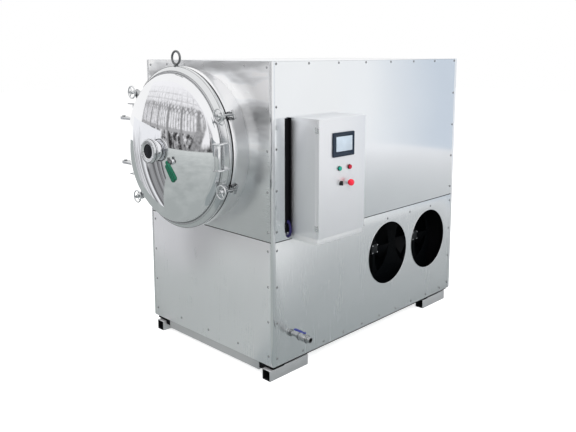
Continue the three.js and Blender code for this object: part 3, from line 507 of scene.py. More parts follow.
front_sheet = rolled("front_sheet", (0.95, 0.95, 0.965), 0.07, 0.10, 0.30, 0.14, 0.95, bump=0.05)
# this sheet carries the painted reflection streaks and the painted lighter top
upper_front_sheet = rolled("upper_front_sheet", (0.82, 0.83, 0.84), 0.09, 0.16, 0.30, 0.14, 0.97, bump=0.05,
                           stretch=(5.0, 420.0, 420.0), reflection_streaks=0.42)
side_sheet = rolled("side_sheet", (0.80, 0.82, 0.84), 0.04, 0.06, 0.12, 0.04, 0.92)
lower_side_sheet = rolled("lower_side_sheet", (0.68, 0.70, 0.71), 0.015, 0.10, 0.27, 0.02, 0.9)
box_sheet = rolled("box_sheet", (0.74, 0.75, 0.77), 0.05, 0.05, 0.36, 0.10, 0.8, bump=0.05)
edge_sheet = rolled("edge_sheet", (0.86, 0.87, 0.88), 0.04, 0.03, 0.16, 0.06, 1.0, bump=0.02)
frame_steel = rolled("frame_steel", (0.60, 0.60, 0.61), 0.10, 0.16, 0.42, 0.12, 0.8, bump=0.08,
                     stretch=(6.0, 300.0, 300.0))
# black for the felt, also used for painted shade: blocks, sills and tube linings under the cabinet and the drain
# valve's mouth and joints
black_pad_and_shade = mottled("black_pad_and_shade", (0.004, 0.004, 0.005), 1200.0, 0.3, 0.8, 0.2, bump=0.2, Specular_IOR_Level=0.08)
deck_steel = mottled("deck_steel", (0.20, 0.21, 0.21), 700.0, 0.25, 0.5, 0.2, bump=0.15, Metallic=0.7)
band_steel = spun_metal("band_steel", (0.74, 0.75, 0.76), 1400.0, 0.12, 0.17, 0.12, bump=0.06)
inner_steel = spun_metal("inner_steel", (0.66, 0.67, 0.68), 700.0, 0.10, 0.30, 0.12, bump=0.05)
shell_steel = spun_metal("shell_steel", (0.96, 0.96, 0.97), 900.0, 0.08, 0.33, 0.12, bump=0.04)
# dark steel for the vent cock, also used for painted shade lines round the door ring
dark_steel_and_shade = spun_metal("dark_steel_and_shade", (0.22, 0.225, 0.23), 900.0, 0.2, 0.25, 0.1)
dome_steel = spun_metal("dome_steel", (0.88, 0.885, 0.90), 240.0, 0.03, 0.045, 0.03)
bright_steel = mottled("bright_steel", (0.78, 0.79, 0.80), 300.0, 0.06, 0.12, 0.08, bump=0.02, Metallic=1.0)
tray_steel = rolled("tray_steel", (0.74, 0.75, 0.76), 0.05, 0.05, 0.4, 0.1, 0.72, bump=0.05)
bolt_steel = mottled("bolt_steel", (0.50, 0.51, 0.52), 500.0, 0.10, 0.16, 0.12, bump=0.05, Metallic=1.0)
eye_steel = mottled("eye_steel", (0.17, 0.175, 0.18), 420.0, 0.25, 0.36, 0.22, bump=0.15, Metallic=0.9)
shelf_alloy = rolled("shelf_alloy", (0.72, 0.73, 0.74), 0.07, 0.08, 0.32, 0.12, 0.95, bump=0.06,
                     stretch=(6.0, 320.0, 320.0))
# black rubber for the door seal, also used for painted shade: screw discs, panel seams and the gap round the control
# box
seal_rubber = mottled("seal_rubber", (0.004, 0.004, 0.005), 1500.0, 0.3, 0.75, 0.2, bump=0.1,
                      Specular_IOR_Level=0.08)
hose_plastic = mottled("hose_plastic", (0.008, 0.004, 0.065), 600.0, 0.3, 0.4, 0.2, bump=0.1)
sight_dark = mottled("sight_dark", (0.003, 0.004, 0.006), 60.0, 0.3, 0.06, 0.03, Specular_IOR_Level=0.25)
black_plastic = mottled("black_plastic", (0.012, 0.012, 0.013), 1400.0, 0.25, 0.42, 0.2, bump=0.12)
fan_black = mottled("fan_black", (0.0016, 0.002, 0.0026), 500.0, 0.3, 0.6, 0.2, bump=0.1, Specular_IOR_Level=0.08)
coil_black = rolled("coil_black", (0.0014, 0.002, 0.0026), 0.8, 0.2, 0.7, 0.2, 0.0, bump=0.4,
                    stretch=(3.0, 600.0, 3.0), distance=0.001, Specular_IOR_Level=0.06)
motor_alloy = mottled("motor_alloy", (0.018, 0.02, 0.022), 500.0, 0.2, 0.42, 0.2, bump=0.1, Metallic=0.7)
machine_paint = mottled("machine_paint", (0.05, 0.06, 0.07), 260.0, 0.25, 0.4, 0.2, bump=0.2)
module_grey = mottled("module_grey", (0.42, 0.43, 0.43), 900.0, 0.1, 0.5, 0.15, bump=0.08)
bezel_navy = mottled("bezel_navy", (0.006, 0.014, 0.028), 1300.0, 0.15, 0.34, 0.15, bump=0.08,
                     Specular_IOR_Level=0.25)
green_cap = mottled("green_cap", (0.006, 0.26, 0.19), 500.0, 0.08, 0.2, 0.1, Specular_IOR_Level=0.3)
red_cap = mottled("red_cap", (0.36, 0.004, 0.022), 500.0, 0.08, 0.2, 0.1, Specular_IOR_Level=0.3)
stop_red = mottled("stop_red", (0.66, 0.016, 0.040), 700.0, 0.1, 0.3, 0.12, Specular_IOR_Level=0.3)
green_sleeve = mottled("green_sleeve", (0.002, 0.085, 0.046), 160.0, 0.9, 0.20, 0.25, bump=0.3, distance=0.002,
                       Specular_IOR_Level=0.35)
blue_sleeve = mottled("blue_sleeve", (0.012, 0.022, 0.20), 220.0, 0.25, 0.4, 0.15, bump=0.1)


# ---------------------------------------------------------------- cabinet
def pierced(low, high, holes, axis, width=0.6):
    """A sheet with smooth round holes; each hole is a centre and a radius in millimetres."""
    sheet = block(low, high, width)
    for centre, radius in holes:
        reach = Vector(axis) * 0.05
        cut(sheet, rod(Vector(centre) - reach, Vector(centre) + reach, radius, 0, 96))
    active(sheet)
    bpy.ops.object.shade_smooth_by_angle(angle=math.radians(30))
    return sheet


def hollowed(low, high, core_low, core_high, width=1.0, segments=2):
    """A box with a smaller box taken out of it."""
    return cut(block(low, high, width, segments), block(core_low, core_high, 0))


def screw_head(at, outward):
    """A low domed cap screw with its socket, facing outward."""
    profile = [(0, -0.6), (3.0, -0.6), (3.2, 1.9), (4.6, 2.4), (6.2, 1.7), (7.0, 0.3), (7.0, -0.6), (0, -0.6)]
    head = spun([Vector((r * MM, 0, d * MM)) for r, d in profile], 14, (0, 0, 0), (0, 0, 1))
    bpy.ops.object.shade_smooth_by_angle(angle=math.radians(40))
    head.matrix_world = Matrix.Translation(at) @ Vector(outward).to_track_quat("Z", "Y").to_matrix().to_4x4()
    return seat(head)


def screw_rows(name, spots, outward, body="cabinet", finish=None):
    head = screw_head(spots[0], outward)
    places = [Matrix.Translation(spot - spots[0]) for spot in spots[1:]]
    # a dark rubber disc under each head: painted shade round the screw
    disc = rod(spots[0] - Vector(outward) * 0.0002, spots[0] + Vector(outward) * 0.0006, 7.9, 0.2, 18)
    keep(f"{name}_shade_washers", copies(disc, places), body, seal_rubber)
    return keep(name, copies(head, places), body, finish or bright_steel)


def steps(first, last, count):
    return [first + (last - first) * i / (count - 1) for i in range(count)]


def make_cabinet():
    low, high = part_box("front_panel_upper")
    front = pierced(low, high, [((AXIS_X, FRONT, AXIS_Z), SHELL + 2.5)], (0, 1, 0))
    keep("upper_front_sheet", [front], "cabinet", upper_front_sheet, ["front_panel_upper"])
    low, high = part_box("right_panel_lower")
    holes = []
    for motor in ("fan_motor_1", "fan_motor_2"):
        fan_low, fan_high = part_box(motor)
        holes.append(((high[0], (fan_low[1] + fan_high[1]) / 2, (fan_low[2] + fan_high[2]) / 2), FAN_OPENING))
    drain = at_drain(0, 0)
    holes.append(((high[0], drain[1], drain[2]), DRAIN_HOLE))
    side = pierced(low, high, holes, (1, 0, 0))
    keep("lower_side_sheet", [side], "cabinet", lower_side_sheet, ["right_panel_lower"])
    for node, finish, slot in [
        ("front_panel_lower", front_sheet, "front_steel"), ("right_panel_upper", side_sheet, "side_steel"),
        ("left_panel_upper", side_sheet, "side_steel"), ("left_panel_lower", lower_side_sheet, "side_steel"),
        ("rear_panel", side_sheet, "side_steel"), ("top_cover", side_sheet, "side_steel"),
    ]:
        keep(f"{node}_sheet", [refined(node, 0.7)], "cabinet", finish, [node])
    for post in ("front_right", "front_left", "rear_right", "rear_left"):
        keep(f"{post}_edge", [refined(f"corner_post_{post}", 0.8)], "cabinet", edge_sheet,
             [f"corner_post_{post}"])
    keep("base_and_feet", [refined("base_frame", 1.6)], "cabinet", frame_steel, ["base_frame"])
    lip = turned([(SHELL - 0.5, -0.3), (SHELL - 0.5, -1.5), (SHELL + 5, -1.5), (SHELL + 6.5, -0.3)], steps=160,
                 width=0.4)
    keep("shell_opening_lip", [lip], "cabinet", upper_front_sheet)
    rims = []
    for centre, radius in holes[:2]:
        rims.append(ring(Vector(centre) + Vector((0.0008, 0, 0)), (1, 0, 0), radius + 1.2, 1.6, 96, 10))
    keep("fan_opening_rims", rims, "cabinet", edge_sheet)
    make_underside_shade()
    joint = (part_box("front_panel_upper")[0][2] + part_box("front_panel_lower")[1][2]) / 2 / MM
    # black strips over the joints between the upper and lower sheets: painted shade in the seams
    seam_shade_strips = [block(at_cabinet(-608, -1000.5, joint - 2.4), at_cabinet(608, -998.5, joint + 2.4), 0.2)]
    for x in (-624, 624):
        seam_shade_strips.append(block(at_cabinet(x - 1.4, -978, joint - 2.4), at_cabinet(x + 1.4, 978, joint + 2.4), 0.2))
    keep("panel_joint_shade", seam_shade_strips, "cabinet", seal_rubber)


def make_underside_shade():
    """Black blocks over the feet, black linings in the open foot tubes and a black sill under each side sheet:
    painted shade under the cabinet and inside the tubes.
    """
    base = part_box("front_panel_lower")[0][2] / MM
    shade_blocks, shade_linings = [], []
    for side, foot, inner in ((1, 579, 489), (-1, -530, -452)):
        near, far = foot - 34 * side, (foot + 38 * side) if side > 0 else foot - 60
        # black blocks above the feet: painted shade under the cabinet
        for y0, y1 in ((-992, -900), (640, 700)):
            for x0, x1, z0 in ((inner, near, 46), (near, far, 70.4)):
                shade_blocks.append(block(at_cabinet(min(x0, x1), y0, z0), at_cabinet(max(x0, x1), y1, base - 0.4), 1.5))
        # black linings in the open foot tubes: painted shade inside them
        for y0, y1 in ((-1018, -760), (641, 900)):
            shade_linings.append(hollowed(at_cabinet(foot - 29.9, y0, 4.1), at_cabinet(foot + 29.9, y1, 65.9),
                                    at_cabinet(foot - 29, y0 - 5, 5), at_cabinet(foot + 29, y1 - 3, 65), 0))
    keep("foot_gap_shade", shade_blocks, "cabinet", black_pad_and_shade)
    keep("foot_tube_shade_linings", shade_linings, "cabinet", black_pad_and_shade)
    # black sills under the side sheets: a painted shadow line along their lower edge
    shade_sills = [block(at_cabinet(x - 6, -960, base - 9), at_cabinet(x + 6, 960, base - 0.3), 0.8) for x in (-616, 616)]
    keep("side_shade_sills", shade_sills, "cabinet", black_pad_and_shade)


def at_drain(reach, rise=0.0):
    """On the drain pipe's line: reach outside the side panel and rise above it, in millimetres."""
    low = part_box("drain_valve")[0]
    lever_low, lever_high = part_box("drain_lever")
    middle = (lever_low[1] + lever_high[1]) / 2
    return Vector((cover_high[0] + reach * MM, middle, low[2] + (24 + rise) * MM))


def make_cabinet_screws():
    spots = [at_cabinet(x, -1000, z) for x in (-582, 582) for z in steps(930, 1905, 5)]
    spots += [at_cabinet(x, -1000, 1912) for x in steps(-388, 388, 5)]
    spots += [at_cabinet(x, -1000, z) for x in (-582, 582) for z in steps(150, 815, 4)]
    spots += [at_cabinet(x, -1000, 150) for x in steps(-300, 300, 3)]
    screw_rows("front_screws", spots, (0, -1, 0))
    spots = [at_cabinet(625, -966, z) for z in steps(935, 1925,
                                                     5)] + [at_cabinet(625, 966, z) for z in steps(935, 1925, 5)]
    spots += [at_cabinet(625, -966, z) for z in steps(140, 820,
                                                      4)] + [at_cabinet(625, 966, z) for z in steps(140, 820, 4)]
    spots += [at_cabinet(625, y, z) for y in steps(-690, 690, 6) for z in (1925, 820)]
    spots += [at_cabinet(625, y, 117) for y in steps(-740, 860, 9)]
    # the right and left side screws take darker steel than the front and rear ones: painted shade on their heads
    screw_rows("right_side_screws", spots, (1, 0, 0), finish=bolt_steel)
    mirrored = [Vector((2 * MID_X - spot[0], spot[1], spot[2])) for spot in spots]
    screw_rows("left_side_screws", mirrored, (-1, 0, 0), finish=bolt_steel)
    spots = [at_cabinet(x, 1000, z) for x in (-582, 582) for z in steps(140, 1925, 8)]
    spots += [at_cabinet(x, 1000, z) for x in steps(-350, 350, 4) for z in (140, 1925)]
    screw_rows("rear_screws", spots, (0, 1, 0))


# ---------------------------------------------------------------- chamber, from the sizes that the door parts give
SHELL, WALL, RIM = 478.0, 8.0, 508.0
FLANGE_FRONT, FLANGE_BACK, SHELL_BACK, HEAD_DEEP = -148.0, -116.0, 1080.0, 216.0
RING_BACK, RING_FRONT = -158.3, -206.8
HEAD_RADIUS, RING_INNER = 468.0, 452.0
PIN_X, PIN_Y = -675.0, -135.0
CLAMPS = (26.5, -23.0, 141.0, 223.0)
CLAMP_RADIUS, PIVOT_Y, CROSSBAR_Y, WHEEL_Y = 530.0, -196.0, -118.0, -232.0
HINGE_LEVELS = (142, -170)


def ellipse(radius, depth, start, steps_count):
    """Half of a dished end, from the rim to the axis."""
    turns = [math.pi / 2 * i / steps_count for i in range(steps_count + 1)]
    return [(radius * math.cos(t) if i < steps_count else 0, start + depth * math.sin(t)) for i,
            t in enumerate(turns)]


def around_axis(side_profile, angle, from_side, to_side, width=0.8):
    """A plate standing across the rim: its [radius, y] outline pulled sideways round the axis."""
    points = [round_axis(r, y, angle, from_side) for r, y in side_profile]
    pull = round_axis(0, 0, angle, to_side) - round_axis(0, 0, angle, from_side)
    return plate(points, pull, width)


def level_plate(outline, low, high, width=0.8):
    """A level plate from an [x, y] outline about the chamber axis."""
    return plate([at_vessel(x, y, low) for x, y in outline], Vector((0, 0, (high - low) * MM)), width)


def arc_points(cx, cy, radius, start, end, count):
    angles = [math.radians(start + (end - start) * i / count) for i in range(count + 1)]
    return [(cx + radius * math.cos(a), cy + radius * math.sin(a)) for a in angles]


def fixed_hinge(level):
    top = level - 0.4
    low = top - 10
    outward = 1 if level > 0 else -1
    arm = [(-(SHELL - WALL - 4), -146), (-RIM, -146), (-RIM - 70, -152), *arc_points(PIN_X, PIN_Y, 24, 270, 90, 20),
           (-RIM - 100, -100), (-(SHELL - WALL - 4), -100)]
    end, root = 248 * outward, low if outward > 0 else top
    x0, x1 = -RIM - 98, -RIM + 40
    gusset = block(at_vessel(x0, -108, min(root, end)), at_vessel(x1, -100, max(root, end)), 1)
    rib = block(at_vessel(x0, -146, min(end, end - 8 * outward)), at_vessel(x1, -100, max(end, end - 8 * outward)),
                1)
    pin = rod(at_vessel(PIN_X, PIN_Y, low - 3), at_vessel(PIN_X, PIN_Y, level + 11), 8, 0.6, 32)
    cap = rod(at_vessel(PIN_X, PIN_Y, level + 10.4), at_vessel(PIN_X, PIN_Y, level + 16.4), 13, 1.2, 32)
    return [level_plate(arm, low, top, 1.2), gusset, rib, pin, cap]


def rim_hooks(angle):
    root, rim, back = RIM - 13, RIM + 1, FLANGE_FRONT + 46
    side = [(root, FLANGE_FRONT + 0.5), (rim + 11.5, FLANGE_FRONT + 0.5), (rim + 11.5, FLANGE_FRONT + 20),
            (rim, FLANGE_FRONT + 20),
            (rim, back - 7), (rim + 9, back - 7), (rim + 9, back), (root, back)]
    return [around_axis(side, angle, 10, 24, 1.0), around_axis(side, angle, -24, -10, 1.0)]


def make_chamber():
    inner = SHELL - WALL
    outside = [*reversed(ellipse(SHELL, HEAD_DEEP, SHELL_BACK, 14)), (SHELL, FLANGE_BACK), (RIM, FLANGE_BACK),
               (RIM, FLANGE_FRONT), (inner, FLANGE_FRONT)]
    inside = ellipse(inner, HEAD_DEEP - WALL, SHELL_BACK, 14)
    outside = [(75, y) if r == 0 else (r, y) for r, y in outside]
    inside = [(70, y) if r == 0 else (r, y) for r, y in inside]
    shell = turned([*outside, *inside], steps=160, width=1.6)
    duct = turned([(75, 1280), (75, 1404), (95, 1404), (95, 1418), (70, 1418), (70, 1280)], steps=64, width=0.8)
    keep("chamber_shell", [shell, duct], "cabinet", shell_steel, ["chamber"])
    parts = [part for level in HINGE_LEVELS for part in fixed_hinge(level)]
    keep("chamber_hinge_brackets", parts, "cabinet", bolt_steel)
    # the hooks take the dark eye steel: painted shade, as they stand in shadow behind the clamps
    keep("rim_hooks", [hook for angle in CLAMPS for hook in rim_hooks(angle)], "cabinet", eye_steel)
    weld = turned([(SHELL - 0.5, -111), (SHELL + 2.5, -113), (SHELL + 3, -116.3), (SHELL - 0.5, -116.3)], steps=128)
    keep("flange_weld", [weld], "cabinet", inner_steel)
    seal = turned([(RIM - 2, -148.3), (RIM - 2, -158), (SHELL, -158), (SHELL, -148.3)], steps=160, width=2.2,
                  segments=3)
    keep("door_seal", [seal], "cabinet", seal_rubber, ["gasket"])
    keep("rack", [refined("shelf_rack", 1.0)], "cabinet", inner_steel, ["shelf_rack"])
    for i in range(1, 5):
        keep(f"heated_shelf_{i}", [refined(f"shelf_{i}", 1.6)], "cabinet", shelf_alloy,
             [f"shelf_{i}"])
    mouth = 1418.3
    front, back, radius = mouth + 72, mouth + 442, 260
    drum = turned([(95, mouth), (95, mouth + 15.7), (75, mouth + 15.7), (75, front), (150, front + 10),
                   (230, front + 30), (radius, front + 70),
                   (radius, back - 60), (230, back - 20), (0, back), (0, back - 6), (228, back - 25),
                   (254, back - 62), (254, front + 72),
                   (228, front + 36), (150, front + 16), (70, front + 5), (70, mouth)], steps=72, width=1.5)
    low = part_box("cold_trap")[0]
    legs = [block((AXIS_X - 0.18, FRONT + y * MM, low[2]), (AXIS_X + 0.18, FRONT + (y + 12) * MM, AXIS_Z - 0.2), 1)
            for y in (front + 70, back - 82)]
    keep("trap_drum", [drum, *legs], "cabinet", inner_steel, ["cold_trap"])


# ---------------------------------------------------------------- door
SKIRT, RISE, KNUCKLE = -204.8, 140.0, 55.0
APEX = SKIRT - RISE
GLASS_SEAT = APEX - 37.0
VENT_X, VENT_Z = 152, -56
GRIP_X, GRIP_Y = 500, -262


def crown_profile(depth, knuckle_steps, crown_steps):
    """One face of the dished head: a tight knuckle arc, then a wide crown arc to the axis."""
    reach = HEAD_RADIUS - 0.3 - KNUCKLE
    crown = (reach**2 + RISE**2 - KNUCKLE**2) / (2 * (RISE - KNUCKLE))
    middle = APEX + crown
    meet = math.atan2(reach, middle - SKIRT)
    knuckle = arc_points(reach, SKIRT, KNUCKLE - depth, 0, math.degrees(meet) - 90, knuckle_steps)
    turns = [meet * (1 - (i + 1) / crown_steps) for i in range(crown_steps)]
    return knuckle + [((crown - depth) * math.sin(a), middle - (crown - depth) * math.cos(a)) for a in turns]


def crown_at(radius):
    face = crown_profile(0, 8, 60)
    return next(y for r, y in face if r <= radius)


def door_arm(level):
    outline = [(-455, SKIRT + 18), (-RIM, SKIRT + 14), (-RIM - 122, PIN_Y - 33),
               *arc_points(PIN_X, PIN_Y, 24, 270, 90, 20),
               (-RIM - 142, PIN_Y + 21), (-RIM - 72, PIN_Y - 5), (-RIM - 2, RING_BACK - 1.5),
               (-455, RING_BACK - 1.5)]
    return level_plate(outline, level, level + 10, 1.2)


def clamp_ears(angle):
    side = [(HEAD_RADIUS + 8, RING_FRONT + 4), (HEAD_RADIUS + 22, RING_FRONT - 5),
            (CLAMP_RADIUS + 4, PIVOT_Y - 11.5),
            *[(CLAMP_RADIUS + r, PIVOT_Y + y) for r, y in arc_points(0, 0, 11, -70, 70, 6)],
            (RIM - 2, RING_BACK - 14), (RIM - 13, RING_BACK - 7)]
    return [around_axis(side, angle, 9.5, 19, 0.9), around_axis(side, angle, -19, -9.5, 0.9)]


def grip_plate(level):
    x, y = GRIP_X, GRIP_Y
    outline = [(HEAD_RADIUS + 4, RING_BACK - 12), (x - 29, y - 6), *arc_points(x - 13, y - 8, 15, 190, 270, 5),
               *arc_points(x + 12, y - 8, 15, 270, 350, 5), (x + 18, PIVOT_Y + 6), (RIM - 6, RING_BACK - 16),
               (RIM - 8, RING_BACK - 12)]
    return level_plate(outline, level, level + 8, 1.2)


def hexagon(centre, axis, across, depth, width=0.6):
    """A hexagon head along an axis; across is its corner radius."""
    return rod(Vector(centre), Vector(centre) + Vector(axis) * depth * MM, across, width, 6)


def make_door():
    ring_band = turned([(RIM, RING_BACK), (RIM, RING_FRONT + 25), (HEAD_RADIUS + 14, RING_FRONT),
                        (HEAD_RADIUS, RING_FRONT),
                        (HEAD_RADIUS, RING_FRONT + 17), (RING_INNER, RING_FRONT + 17), (RING_INNER, RING_BACK)],
                       steps=160, width=1.4)
    keep("door_band", [ring_band], "door", band_steel, ["door_ring"])
    arms = [door_arm(level) for level in HINGE_LEVELS]
    keep("door_hinge_arms", arms, "door", bolt_steel)
    keep("clamp_ears", [ear for angle in CLAMPS for ear in clamp_ears(angle)], "door", bolt_steel)
    keep("grip_bracket", [grip_plate(72), grip_plate(-80)], "door", bright_steel)

    edge = HEAD_RADIUS - 0.3
    face = crown_profile(0, 14, 44)
    inside = [point for point in crown_profile(6, 6, 12) if point[0] > 50]
    outside = [point for point in face if point[0] > 50]
    skin = turned([(46, APEX + 7), *reversed(inside), (edge - 6, RING_FRONT + 16.7), (edge, RING_FRONT + 16.7),
                   *outside, (46, APEX + 1)], steps=192, width=0)
    keep("dished_head", [skin], "door", dome_steel, ["door_dome"])
    # a dark ring in the joint groove and thin dark rings on the ring band's chamfer edges: painted shade lines
    groove = turned([(edge - 2.0, RING_FRONT - 0.2), (edge - 1.0, RING_FRONT - 2.4), (edge + 3, RING_FRONT - 1.2),
                     (edge + 4.5, RING_FRONT + 0.4),
                     (edge - 2.0, RING_FRONT + 0.6)], steps=160)
    lines = [ring(at_vessel(0, y, 0), (0, 1, 0), r, minor, 160, 8) for r, y,
             minor in ((HEAD_RADIUS + 14.2, RING_FRONT + 0.2, 0.9), (RIM, RING_FRONT + 25, 1.1))]
    keep("head_edge_shade_lines", [groove, *lines], "door", dark_steel_and_shade)
    neck = turned([(46, GLASS_SEAT), (74, GLASS_SEAT), (74, GLASS_SEAT + 8), (52, GLASS_SEAT + 8),
                   (52, GLASS_SEAT + 15), (60, GLASS_SEAT + 15),
                   (60, APEX - 1.5), (62.5, APEX + 2), (62.5, APEX + 5), (46, APEX + 5)], steps=96, width=0.9)
    vent_at = crown_at(math.hypot(VENT_X, VENT_Z))
    boss = rod(at_vessel(VENT_X, vent_at + 3, VENT_Z), at_vessel(VENT_X, vent_at - 7, VENT_Z), 19, 1.2, 40)
    keep("sight_neck_and_boss", [neck, boss], "door", dome_steel)
    joints = [ring(at_vessel(0, GLASS_SEAT - 0.15, 0), (0, 1, 0), 74.0, 1.5, 96, 8),
              ring(at_vessel(0, GLASS_SEAT + 9.2, 0), (0, 1, 0), 71.5, 2.0, 96, 8)]
    keep("sight_joint_rings", joints, "door", seal_rubber)

    back = GLASS_SEAT - 0.3
    front, seat_y = back - 17.7, back - 8.5
    body = turned([(74, back), (74, front), (60, front), (58.5, front + 1.5), (48, front + 1.5), (44, front + 4),
                   (44, seat_y), (65, seat_y), (65, back)], steps=96, width=1.0)
    bolts = []
    for i in range(6):
        a = math.radians(30 + 60 * i)
        spot = at_vessel(66.5 * math.cos(a), front + 0.5, 66.5 * math.sin(a))
        bolts.append(rod(spot, spot + Vector((0, -4.5 * MM, 0)), 4.6, 0.9, 24))
        bolts.append(hexagon(spot + Vector((0, -4 * MM, 0)), (0, -1, 0), 2.6, 1.2, 0.2))
    keep("sight_cover_ring", [body, *bolts], "door", bright_steel, ["sight_ring"])
    pane = turned([(0, back), (64.2, back), (64.2, back - 7), (63, back - 8.2), (0, back - 8.2)], steps=96)
    keep("sight_pane", [pane], "door", sight_dark, ["sight_glass"])

    grip = rod(at_vessel(GRIP_X, GRIP_Y, -71.7), at_vessel(GRIP_X, GRIP_Y, 71.7), 20, 0.6, 56)
    rings = [ring(at_vessel(GRIP_X, GRIP_Y, z), (0, 0, 1), 19.6, 0.9, 56, 8) for z in (-69, 69)]
    keep("grip_tube", [grip, *rings], "door", bright_steel, ["door_grip"])

    eye_y = (RING_BACK + RING_FRONT + 25) / 2
    seat_z = RIM + 0.3
    loop = ring(at_vessel(0, eye_y, seat_z + 52), (0, 1, 0), 40, 7, 72, 20)
    foot = rod(at_vessel(0, eye_y, seat_z), at_vessel(0, eye_y, seat_z + 13), 11, 1.4, 32)
    collar = rod(at_vessel(0, eye_y, seat_z), at_vessel(0, eye_y, seat_z + 4), 16, 1.4, 32)
    keep("ring_eye", [loop, foot, collar], "door", eye_steel, ["lifting_eye"])
    make_vent(vent_at)


def make_vent(vent_at):
    face = vent_at - 7.3
    x, z = VENT_X, VENT_Z
    nut = hexagon(at_vessel(x, face, z), (0, -1, 0), 17, 5, 0.8)
    body = turned([(0, face - 4), (15, face - 4), (16, face - 6), (16, face - 18), (13, face - 20), (0, face - 20)],
                  (x, z), steps=40, width=0.6)
    stem = rod(at_vessel(x, face - 19, z), at_vessel(x, face - 24, z), 5, 0.5, 20)
    outlet = rod(at_vessel(x, face - 12, z + 8), at_vessel(x, face - 12, z + 30), 8, 0.8, 32)
    lips = [ring(at_vessel(x, face - 12, z + h), (0, 0, 1), 7.7, 1.0, 32, 8) for h in (20, 24.5, 28.8)]
    keep("vent_cock", [nut, body, stem, outlet, *lips], "door", dark_steel_and_shade, ["vent_valve"])
    back = face - 24.3
    turn = Matrix.Translation(at_vessel(x, 0,
                                        z)) @ Matrix.Rotation(math.radians(50), 4,
                                                              "Y") @ Matrix.Translation(-at_vessel(x, 0, z))
    hub = rod(at_vessel(x, back, z), at_vessel(x, back - 6, z), 11, 0.8, 32)
    blade = block(at_vessel(x + 4, back - 4.5, z - 6), at_vessel(x + 30, back - 1.5, z + 6), 0.8)
    outline = [(10, -13), (16, -19), (60, -23), (118, -24), (130, -17), (130, 17), (118, 24), (60, 23), (16, 19),
               (10, 13)]
    sleeve = plate([at_vessel(x + u, back - 15, z + v) for u, v in outline], Vector((0, 18 * MM, 0)), 0)
    rounded(sleeve, 5.0, 5, 40)
    lever = joined([hub, blade, sleeve])
    lever.matrix_world = turn
    lever = keep("vent_cock_lever", [seat(lever)], "vent_lever", green_sleeve, ["vent_lever"])
    lever.visible_glossy = False


def clamp_parts(i, angle):
    """T-bolt with its crossbar, trunnion, washer and three-spoked hand wheel."""
    def at(r, y, side=0.0):
        return round_axis(r, y, angle, side)

    radius = CLAMP_RADIUS
    shaft = rod(at(radius, WHEEL_Y - 20), at(radius, CROSSBAR_Y), 7, 0.8, 28)
    threads = [ring(at(radius, WHEEL_Y + 16 + 2.0 * n), (0, 1, 0), 6.7, 0.75, 28, 6) for n in range(10)]
    crossbar = rod(at(radius, CROSSBAR_Y, -28), at(radius, CROSSBAR_Y, 28), 7, 1.2, 28)
    trunnion = rod(at(radius, PIVOT_Y, -19), at(radius, PIVOT_Y, 19), 5, 0.8, 24)
    eye = rod(at(radius, PIVOT_Y, -9), at(radius, PIVOT_Y, 9), 9.6, 0.8, 28)
    washer = rod(at(radius, WHEEL_Y + 10.3), at(radius, WHEEL_Y + 14), 12, 0.5, 32)
    keep(f"swing_bolt_{i}", [shaft, *threads, crossbar, trunnion, eye, washer], f"clamp_{i}", bolt_steel,
         [f"clamp_bolt_{i}"])
    centre = at(radius, WHEEL_Y)
    rim = ring(centre, (0, 1, 0), 39, 5, 64, 16)
    hub = turned([(7.3, WHEEL_Y - 9), (11, WHEEL_Y - 9), (13, WHEEL_Y - 6), (13, WHEEL_Y + 8), (12, WHEEL_Y + 10),
                  (7.3, WHEEL_Y + 10)],
                 (radius * math.cos(math.radians(angle)), radius * math.sin(math.radians(angle))), steps=40,
                 width=0.5)
    spokes = []
    for turn in (90, 210, 330):
        out = math.radians(turn + angle)
        ray = Vector((math.cos(out), 0, math.sin(out)))
        spokes.append(rod(centre + ray * 9 * MM, centre + ray * 39 * MM, 3.5, 0.4, 20))
    keep(f"hand_wheel_{i}", [rim, hub, *spokes], f"wheel_{i}", bright_steel, [f"clamp_wheel_{i}"])


